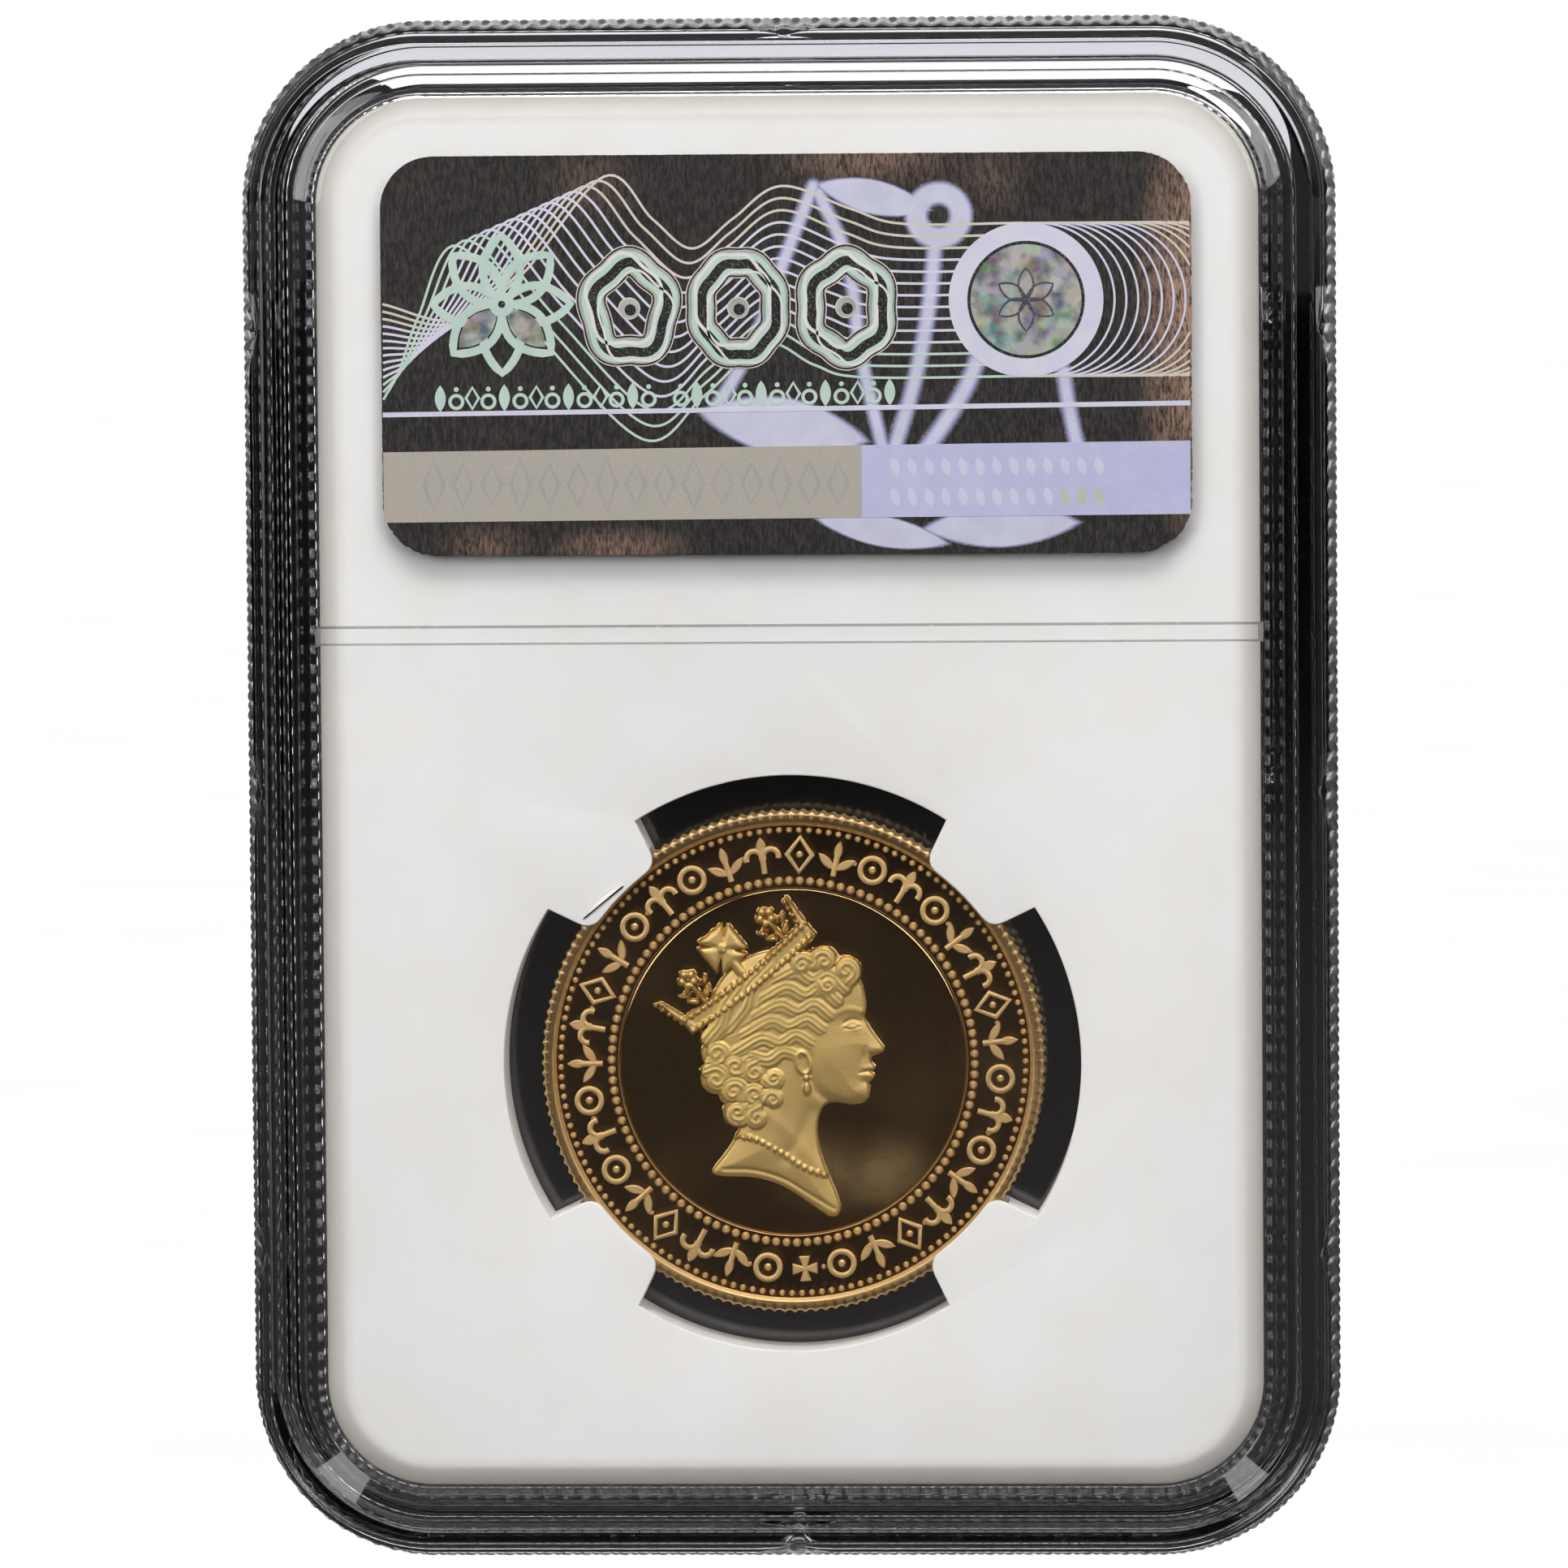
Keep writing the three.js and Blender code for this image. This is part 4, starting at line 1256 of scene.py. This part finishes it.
def crown_sprays(u, v):
    """The two sprays: on each stem a five-petalled flower over three pairs of leaves."""
    spray, hearts = np.full(u.shape, -9.0), 0.0
    for centre in (1.65, 7.3):
        spray = np.maximum(spray, inside_line(u, v, centre, 0.9, centre, 2.2, 0.12))
        for petal in range(5):
            turn = pi / 2 + (petal - 2) * 2 * pi / 5
            petal_u, petal_v = centre + 0.34 * cos(turn), 2.6 + 0.34 * sin(turn)
            spray = np.maximum(spray, inside_circle(u, v, petal_u, petal_v, 0.25))
        for lean in (-1, 1):
            for reach, rise, size in ((0.5, 1.45, 0.36), (0.75, 2.0, 0.3), (0.45, 2.05, 0.2)):
                leaf_u, narrow = centre + lean * reach, size * 0.45
                spray = np.maximum(spray, inside_ellipse(u, v, leaf_u, rise, size, narrow, lean * 0.7))
        hearts = hearts + 0.08 * gentle(inside_circle(u, v, centre, 2.6, 0.16) / 0.1)
    return 0.34 * gentle(spray / 0.08) + 0.08 * gentle(spray / 0.3) + hearts, spray


def crown_ends(u, v):
    """The fleurons at both ends, each a leaning spike with five pearls up it."""
    ends = inside_line(u, v, 0.2, 0.4, -0.42, 2.55, 0.26, 0.1)
    ends = np.maximum(ends, inside_line(u, v, CROWN_LENGTH - 0.2, 0.4, CROWN_LENGTH + 0.1, 2.7, 0.26, 0.1))
    for step in range(5):
        rise = 0.9 + 0.42 * step
        for foot, lean in ((0.0, -0.29), (CROWN_LENGTH - 0.4, 0.13)):
            ends = np.maximum(ends, inside_circle(u, v, foot + lean * (rise - 0.4), rise, 0.15))
    return 0.38 * gentle(ends / 0.09), ends


def crown_height(x, y):
    """The tilted crown, and how far inside its outline each point is."""
    u, v = own_axes(x, y, *CROWN_LEFT, CROWN_ANGLE)
    parts = [part(u, v) for part in (crown_band, crown_cross, crown_sprays, crown_ends)]
    return np.max([height for height, _ in parts], axis=0), np.max([inside for _, inside in parts], axis=0)


def bust(x, y):
    """The crowned head on the rear face: its height above the field, and where it is frosted."""
    head_x, head_y = (x - HEAD_PLACE[0]) / HEAD_SCALE, (y - HEAD_PLACE[1]) / HEAD_SCALE
    face, face_inside = face_height(head_x, head_y)
    hair, hair_inside = hair_height(head_x, head_y)
    crown, crown_inside = crown_height(x, y)
    height = np.maximum(face * (face_inside > 0), hair * (hair_inside > 0))
    ear_x, ear_y = EAR
    drop = np.maximum(inside_circle(head_x, head_y, ear_x + 0.12, ear_y - 0.78, 0.16),
                      inside_ellipse(head_x, head_y, ear_x + 0.12, ear_y - 1.3, 0.2, 0.34))
    height = np.maximum(height, (0.38 + 0.1 * gentle(drop / 0.15)) * (drop > 0))
    string = [(-3.45, -3.2), (-2.4, -3.45), (-1.2, -4.15), (0.0, -5.0), (0.9, -5.35)]
    necklace = pearl_string(head_x, head_y, string, 0.32, 0.15)
    height = np.where(necklace > 0, np.maximum(height, 0.33 + 0.12 * gentle(necklace / 0.14)), height)
    hem = [(1.3, -7.1), (0.1, -6.3), (-1.2, -5.45), (-2.7, -4.95), (-4.2, -4.85)]
    height -= 0.06 * stroke(head_x, head_y, hem, 0.08) * (face_inside > 0.15)
    height = np.where(crown_inside > 0, np.maximum(height, crown), height)
    inside = np.maximum(np.maximum(face_inside, hair_inside), crown_inside)
    return np.clip(height, 0, None) * gentle(inside / 0.05 + 0.3), gentle(inside / 0.06 + 0.5)


def rosette(x, y):
    """The plain ornament on the front face: a twelve-petalled flower in a corded ring."""
    reach, angle = np.hypot(x, y), np.arctan2(y, x)
    petals = 6.4 * (0.62 + 0.38 * np.abs(np.cos(6 * angle)) ** 0.8) - reach
    vein = 0.5 + 0.5 * np.cos(12 * angle)
    height = (0.16 + 0.14 * vein) * gentle(petals / 0.25)
    height = np.maximum(height, (0.42 - 0.05 * np.cos(20 * angle)) * gentle((1.7 - reach) / 0.2))
    cord = 0.42 - np.abs(reach - 8.1 - 0.14 * np.cos(30 * angle))
    height = np.maximum(height, 0.28 * gentle(cord / 0.3))
    return height, gentle(height / 0.08)


def disc_grid(cells):
    """A square grid laid out over a disc with its edge on the rim (radius 1)."""
    side = np.linspace(-1, 1, cells + 1)
    a, b = np.meshgrid(side, side, indexing="ij")
    wide = np.abs(a) > np.abs(b)
    safe_a, safe_b = np.where(a == 0, 1, a), np.where(b == 0, 1, b)
    reach = np.where(wide, a, b)
    turn = np.where(wide, pi / 4 * b / safe_a, pi / 2 - pi / 4 * a / safe_b)
    return reach * np.cos(turn), reach * np.sin(turn)


def grid_faces(cells, first):
    """A square grid's faces and its table of point numbers, which start at the first."""
    index = first + np.arange((cells + 1) ** 2).reshape(cells + 1, cells + 1)
    corners = [index[:-1, :-1], index[1:, :-1], index[1:, 1:], index[:-1, 1:]]
    return np.stack(corners, axis=-1).reshape(-1, 4).tolist(), index


def grid_rim(index):
    """The grid's edge points, anticlockwise."""
    return np.concatenate([index[-1, :-1], index[::-1, -1][:-1], index[0, ::-1][:-1], index[:-1, 0]])


def add_coin_centre(metal):
    """The centre disc: a fine grid on the rear face, a coarser one on the front, and a wall between."""
    cells, coarse = 264, 132
    builder = Builder()
    frost = []
    rims = []
    for size, design, side in ((cells, bust, 1), (coarse, rosette, -1)):
        x, y = disc_grid(size)
        x, y = x.ravel() * SEAM_RADIUS, y.ravel() * SEAM_RADIUS
        height, mask = design(x * side, y)
        lip = gentle((SEAM_RADIUS - np.hypot(x, y)) / 0.1)
        z = side * (CENTRE_FIELD - 0.06 * (1 - lip) + height * lip)
        faces, index = grid_faces(size, len(builder.points))
        if side < 0:
            faces = [face[::-1] for face in faces]
        builder.points.extend(zip(x, y, z))
        builder.faces.extend(faces)
        builder.slots.extend([0] * len(faces))
        frost.extend(mask)
        rims.append(grid_rim(index))
    fine, rough = rims
    for here in range(len(rough)):
        after = (here + 1) % len(rough)
        upper = [fine[2 * here], fine[2 * here + 1], fine[(2 * here + 2) % len(fine)]]
        builder.faces.append([int(corner) for corner in (rough[here], rough[after], *upper[::-1])])
        builder.slots.append(0)
    builder.points = [tuple(point) for point in on_coin(builder.points)]
    mesh = builder.mesh("coin_centre_struck")
    mark(mesh, "frost", frost)
    add_piece("coin_centre_struck", mesh, [metal], "coin", "coin_centre", 60)


# ---- The foil label on the rear window ----

class Print(Builder):
    """A label's printing: thin closed shapes laid over one another. Levels are in micrometres."""

    def __init__(self, base, centre, inks):
        super().__init__()
        self.base, self.centre, self.inks = base, centre, inks

    def put(self, points_and_faces, ink_name):
        points, faces = points_and_faces
        points = np.array(points, float) + (0, self.centre, 0)
        self.add(points, faces, self.inks.index(ink_name))

    def shape(self, outline, level, ink_name):
        self.put(prism(outline, self.base - 0.02, self.base + level / 1000), ink_name)

    def line(self, path, width, level, ink_name, closed=False):
        self.put(ribbon(path, width, self.base - 0.02, self.base + level / 1000, closed), ink_name)

    def ring(self, x, y, outer, inner, level, ink_name):
        path = circle(x, y, (outer + inner) / 2, 96)
        self.line(path, outer - inner, level, ink_name, closed=True)


INKS = {
    "lavender": ((0.80, 0.79, 1.0), (0.86, 0.85, 1.0)),
    "beige": ((0.80, 0.72, 0.62), (0.86, 0.79, 0.72)),
    "seafoam": ((0.60, 0.80, 0.72), (0.70, 0.86, 0.77)),
    "band_beige": ((0.53, 0.51, 0.45), (0.57, 0.51, 0.45)),
    "band_mark": ((0.44, 0.455, 0.44), (0.48, 0.48, 0.47)),
    "band_lavender": ((0.62, 0.64, 0.94), (0.66, 0.68, 0.98)),
    "band_bright": ((0.76, 0.76, 1.0), (0.80, 0.80, 1.0)),
    "pale_green": ((0.58, 0.68, 0.56), (0.66, 0.70, 0.58)),
    "black": ((0.012, 0.011, 0.011), (0.02, 0.018, 0.018)),
    "silver": ((0.42, 0.45, 0.43), (0.58, 0.60, 0.57)),
    # shine: painted highlight lines on the embossed outlines, not an ink of the foil.
    "shine": ((0.86, 0.88, 0.86), (0.95, 0.95, 0.95)),
    "plum": ((0.06, 0.05, 0.09), (0.10, 0.09, 0.14)),
}
# The soft spray's layers: the share of its full width that each takes, and its red-green and its blue.
SOFT_SHARES = (1.0, 0.85, 0.7, 0.54, 0.36)
SOFT_TONES = ((0.08, 0.11), (0.20, 0.31), (0.37, 0.59), (0.55, 0.86), (0.70, 0.90))
for layer, (grey, blue) in enumerate(SOFT_TONES):
    INKS["soft_%d" % layer] = ((grey, grey, blue), (grey * 1.1, grey * 1.12, blue * 1.1))
WAVE_TOP = [(-22.6, 2.95), (-18.6, 2.05), (-14.8, 4.5), (-10.1, 10.0), (-7.4, 7.6), (-5.2, 5.95),
            (-2.9, 7.6), (-0.2, 9.4), (3.7, 8.1), (6.6, 7.25), (13.4, 7.25)]
WAVE_BOTTOM = [(-22.6, -2.4), (-21.7, -0.8), (-20.6, 2.2), (-18.4, 6.2), (-13.9, 1.2), (-8.05, -4.7),
               (-4.6, -2.3), (-1.2, 0.6), (1.6, -0.6), (4.3, -1.3), (13.4, -1.3)]
PATCH = (13.45, 2.97)


def worn_outline():
    """The foil's outline, with a slightly torn right edge and nicked lower corners."""
    outline = resampled(rounded_rectangle(0, 0, FOIL.width, FOIL.height, 3, 16), 0.15)
    across, up = outline[:, 0] / (FOIL.width / 2), outline[:, 1] / (FOIL.height / 2)
    wear = 0.02 + 0.05 * np.clip(across, 0, 1) ** 6 + 0.09 * (np.clip(-up, 0, 1) * np.abs(across)) ** 3
    rough = np.random.default_rng(5).random(len(outline)) ** 2
    return grown(outline, -wear * rough)


def resampled(outline, spacing):
    """Points at even spacing round a closed outline."""
    closed = np.vstack([outline, outline[:1]])
    steps = run_along(closed)
    places = np.linspace(0, steps[-1], int(steps[-1] / spacing), endpoint=False)
    return np.column_stack([np.interp(places, steps, closed[:, axis]) for axis in (0, 1)])


def print_soft_spray(sheet):
    """The large out-of-focus ornament: a ringed node with stems and leaves falling from it.

    Each part is laid down as ever narrower layers, from the foil's own dark to pale lavender."""
    stems = [
        ([(8.4, 6.2), (8.0, 2.5), (7.2, -1.5), (6.0, -5.4)], 1.15),
        ([(11.0, 0.4), (10.1, -1.8), (8.9, -3.8), (7.6, -5.6)], 1.25),
        ([(1.9, 9.0), (3.5, 5.2), (4.2, 0.0), (5.4, -5.4)], 1.0),
        ([(15.5, -1.0), (15.8, -3.0), (16.3, -5.4)], 1.1),
        ([(1.6, 9.4), (0.0, 5.4), (-1.9, 0.5), (-4.2, -3.4)], 1.0),
    ]
    leaves = [
        moved(leaf(9.6, 3.2, 20), -4.9, -3.2, radians(-100)),
        moved(leaf(6.6, 1.9, 16), 8.2, 8.0, radians(77)),
        moved(leaf(7.6, 1.7, 16), 1.6, -9.2, radians(-101)),
        moved(leaf(8.8, 2.4, 16), 7.6, -9.8, radians(-88)),
    ]
    for layer, share in enumerate(SOFT_SHARES):
        ink_name, level, layers_above = "soft_%d" % layer, 2 + 2.2 * layer, len(SOFT_SHARES) - 1 - layer
        for order, (path, width) in enumerate(stems):
            path = curve_through(path)
            sheet.line(path, width * share, level + 0.1 * order, ink_name)
            cap_level = level + 0.6 + 0.1 * order + 0.01 * layers_above
            sheet.shape(circle(*path[0], width * share / 2, 16), cap_level, ink_name)
        for order, outline in enumerate(leaves):
            middle = outline.mean(axis=0)
            narrower = middle + (outline - middle) * (0.86 + 0.2 * share)
            sheet.shape(narrower, level + 1.2 + 0.1 * order, ink_name)
        sheet.ring(8.6, 7.7, 1.55 + 0.45 * share, 0.95 - 0.45 * share, level + 1.7, ink_name)


def print_waves(sheet):
    """Fourteen wave lines that run into a row of half circles."""
    top, bottom = np.array(WAVE_TOP), np.array(WAVE_BOTTOM)
    lines = 14
    for index in range(lines):
        share = index / (lines - 1)
        path = curve_through(top * (1 - share) + bottom * share, 12)
        path = path[path[:, 0] > -FOIL.width / 2 + 0.05]
        ink_name = "beige" if index < 3 else "seafoam" if index > 10 else "lavender"
        sheet.line(path, 0.14, 14 + 0.5 * index, ink_name)
    radius, right = 4.28, FOIL.width / 2 - 0.12
    for index in range(1, 15):
        x = PATCH[0] + 0.66 * index
        reach = (right - x) / radius
        ink_name = "lavender" if index < 8 else "beige"
        level = 21.5 + 0.4 * index
        if reach >= 1:
            sheet.line(arc(x, PATCH[1], radius, -pi / 2, pi / 2, 48), 0.12, level, ink_name)
        elif reach > 0.05:
            cut = pi / 2 - np.arcsin(reach)
            for start, end in ((-pi / 2, -cut), (cut, pi / 2)):
                sheet.line(arc(x, PATCH[1], radius, start, end, 24), 0.12, level, ink_name)
    for y in (PATCH[1] + radius, PATCH[1] - radius):
        sheet.line(np.array([(PATCH[0], y), (right - 1.5, y)]), 0.12, 28, "beige")


def print_bands(sheet):
    """The thin rule, the two-coloured band along the bottom, and the faint marks in it."""
    left, right = -FOIL.width / 2 + 0.06, FOIL.width / 2 - 0.12
    sheet.line(np.array([(left, -3.25), (right, -2.85)]), 0.27, 29, "lavender")
    change = 4.2
    sheet.shape([(left, -9.3), (change, -9.15), (change, -5.1), (left, -5.35)], 31, "band_beige")
    sheet.shape([(change, -9.15), (right, -9.05), (right, -4.95), (change, -5.1)], 31.5, "band_lavender")
    for index in range(15):
        x = -19.8 + 1.62 * index
        height = 1.15 if index % 3 else 1.45
        diamond = np.array([(0.55, 0), (0, height), (-0.55, 0), (0, -height)])
        sheet.line(moved(diamond, x, -7.2), 0.26, 34, "band_mark", closed=True)
    for row, y in enumerate((-6.3, -8.0)):
        for index in range(13):
            x = 6.2 + 0.95 * index
            ink_name = "pale_green" if row and index > 9 else "band_bright"
            sheet.shape(moved(leaf(1.1, 0.52, 6), x, y - 0.55, 0.25), 34, ink_name)


def print_motif_row(sheet):
    """The row of small ornaments over the rule."""
    for index in range(29):
        x, y = -19.4 + 0.9 * index, -2.36 + 0.008 * index
        if index == 14:
            continue
        if index % 4 == 0:
            sheet.shape(moved(leaf(1.5, 0.62, 8), x, y - 0.75), 36, "seafoam")
        elif index % 4 == 2:
            diamond = np.array([(0.36, 0), (0, 0.6), (-0.36, 0), (0, -0.6)])
            sheet.line(moved(diamond, x, y), 0.18, 36, "seafoam", closed=True)
        else:
            sheet.line(circle(x, y - 0.2, 0.36, 16), 0.19, 36, "seafoam", closed=True)
            sheet.shape(circle(x, y + 0.5, 0.14, 12), 36, "seafoam")


def print_patch(sheet):
    """The round patch: a lavender ring about a faceted disc with a small flower."""
    x, y = PATCH
    sheet.ring(x, y, 4.32, 3.2, 39, "lavender")
    sheet.shape(circle(x, y, 3.25, 72), 41, "mosaic")
    sheet.ring(x, y, 3.28, 3.1, 43, "black")
    for petal in range(6):
        path = moved(leaf(1.75, 0.85, 9), x, y, petal * pi / 3)
        sheet.line(path, 0.12, 44 + 0.3 * petal, "plum", closed=True)
    sheet.shape(circle(x, y, 0.28, 20), 46, "plum")


def print_rosette(sheet):
    """The seafoam emblem: an eight-petalled flower standing on a short foot."""
    x, y = -15.9, 2.9
    for petal in range(8):
        turn = petal * pi / 4
        path = moved(leaf(3.85, 2.1, 14), x, y, turn)
        sheet.line(path, 0.46, 38 + 0.3 * petal, "seafoam", closed=True)
        if petal in (3, 5):
            inner = moved(leaf(3.0, 1.45, 12), x - 0.4 * sin(turn), y + 0.4 * cos(turn), turn)
            sheet.shape(inner, 41, "mosaic")
    sheet.shape(circle(x, y, 0.7, 28), 43, "seafoam")
    sheet.shape(circle(x, y, 0.2, 20), 45, "black")


def lobed(x, y, lobes, inner, outer, turn):
    """A closed curve with evenly spaced lobes."""
    angles = np.linspace(0, 2 * pi, 120, endpoint=False)
    reach = inner + (outer - inner) * (0.5 + 0.5 * np.cos(lobes * (angles - turn)))
    return np.column_stack([x + reach * np.cos(angles), y + reach * np.sin(angles)])


def print_ornaments(sheet):
    """Three large embossed outlines, edged in black and beige: each a bright tube with painted highlight
    lines and a dark crease of painted shade.
    """
    # Painted light: the shine lines are painted highlights and the offset black crease is painted shade on
    # the embossing; the beige and black edging, silver and seafoam are print.
    layers = (
        (1.74, 0.0, 47, "beige"), (1.62, 0.0, 48.5, "black"), (1.42, 0.0, 50, "silver"),
        (1.12, 0.05, 51.5, "seafoam"), (0.52, 0.08, 53, "black"), (0.20, -0.44, 55, "shine"),
        (0.13, 0.54, 55, "shine"),
    )
    y = 2.62
    outlines = (
        lobed(-8.75, y, 5, 1.90, 2.20, pi / 2),
        lobed(-2.65, y, 8, 2.06, 2.18, pi / 8),
        lobed(3.40, y, 6, 1.96, 2.20, pi / 6),
    )
    for order, round_path in enumerate(outlines):
        path = (round_path - (0, y)) * (1, 1.22) + (0, y)
        for width, shift, level, ink_name in layers:
            sheet.line(path + (shift * 0.7, -shift), width, level + 0.2 * order, ink_name, closed=True)
        x = path[:, 0].mean()
        sheet.shape(circle(x, y, 0.62, 32), 47, "beige")
        sheet.shape(circle(x, y, 0.55, 32), 50, "silver")
        sheet.shape(circle(x + 0.06, y - 0.08, 0.32, 28), 53, "black")


def add_foil_label():
    """The foil and its printing, which lies on it in thin layers."""
    outline = worn_outline() + (0, FOIL.centre_y)
    base = FOIL.rear - 0.06
    plate = mesh_of("foil_label", prism(outline, FOIL.front + 0.001, base, 0.015))
    add_piece("foil_label", plate, [dark_foil()], "case", "rear_hologram_label")
    names = list(INKS) + ["mosaic"]
    sheet = Print(base, FOIL.centre_y, names)
    for layer in (print_soft_spray, print_waves, print_bands, print_motif_row, print_patch, print_rosette,
                  print_ornaments):
        layer(sheet)
    inks = [ink(name + "_ink", *colours) for name, colours in INKS.items()] + [mosaic_ink()]
    mesh = sheet.mesh("foil_label_print")
    add_piece("foil_label_print", mesh, inks, "case", "rear_hologram_label")


# ---- The card in the front pocket ----

def add_card():
    """The printed card, drawn facing up and then turned over to face the front window."""
    turned_over = Matrix.Rotation(pi, 4, "Y")
    face, back = -CARD.front, -CARD.rear
    outline = rounded_rectangle(0, CARD.centre_y, CARD.width, CARD.height, 2.5)
    plate = mesh_of("card", prism(outline, back, face - 0.012, 0.03))
    plate.transform(turned_over)
    add_piece("front_card", plate, [card_stock()], "case", "front_label")
    names = ["card_blue", "card_gold", "card_grey"]
    sheet = Print(face - 0.012, CARD.centre_y, names)
    half_width, half_height = CARD.width / 2, CARD.height / 2
    border = rounded_rectangle(0, 0, CARD.width - 2.4, CARD.height - 2.4, 1.8)
    sheet.line(border, 0.3, 4, "card_gold", closed=True)
    sheet.shape(rounded_rectangle(0, half_height - 4.3, CARD.width - 5, 3.4, 0.5), 5, "card_blue")
    for row in range(4):
        width = 22 - 4.5 * (row % 2)
        bar = rounded_rectangle(width / 2 - half_width + 3, 3.2 - 3.1 * row, width, 1.1, 0.3)
        sheet.shape(bar, 5, "card_grey")
    flower_x, flower_y = half_width - 9, -2.6
    for petal in range(12):
        path = moved(leaf(4.6, 1.5, 10), flower_x, flower_y, petal * pi / 6)
        sheet.shape(path, 6 + 0.1 * petal, "card_gold")
    sheet.shape(circle(flower_x, flower_y, 1.2, 40), 9, "card_blue")
    sheet.ring(flower_x, flower_y, 5.6, 5.2, 6, "card_blue")
    mesh = sheet.mesh("front_card_print")
    mesh.transform(turned_over)
    inks = [
        ink("card_blue", (0.02, 0.06, 0.20), (0.03, 0.08, 0.24), 0.4, 0.0),
        ink("card_gold", (0.45, 0.30, 0.10), (0.52, 0.36, 0.13), 0.35, 0.5),
        ink("card_grey", (0.05, 0.05, 0.06), (0.08, 0.08, 0.09), 0.5, 0.0),
    ]
    add_piece("front_card_print", mesh, inks, "case", "front_label")


# ---- Build ----

def main():
    bpy.context.scene.view_settings.view_transform = "Standard"
    add_camera()
    add_stage()
    add_world()
    add_lights()
    add_shells()
    add_holder()
    ring_gold, ring_toned = (0.72, 0.50, 0.22), (0.55, 0.36, 0.18)
    add_coin_ring([
        gold("ring_gold_frosted", ring_gold, ring_toned, 1.0),
        gold("ring_gold_polished", ring_gold, ring_toned, 0.0),
        gold("ring_gold_rim", (0.56, 0.36, 0.15), (0.47, 0.30, 0.135), 0.55),
    ])
    cloud = ((3.6, COIN_Y - 6.6), (5.6, 3.4))
    add_coin_centre(gold("centre_gold", (0.68, 0.485, 0.175), (0.60, 0.40, 0.18), "frost", cloud))
    add_foil_label()
    add_card()


main()
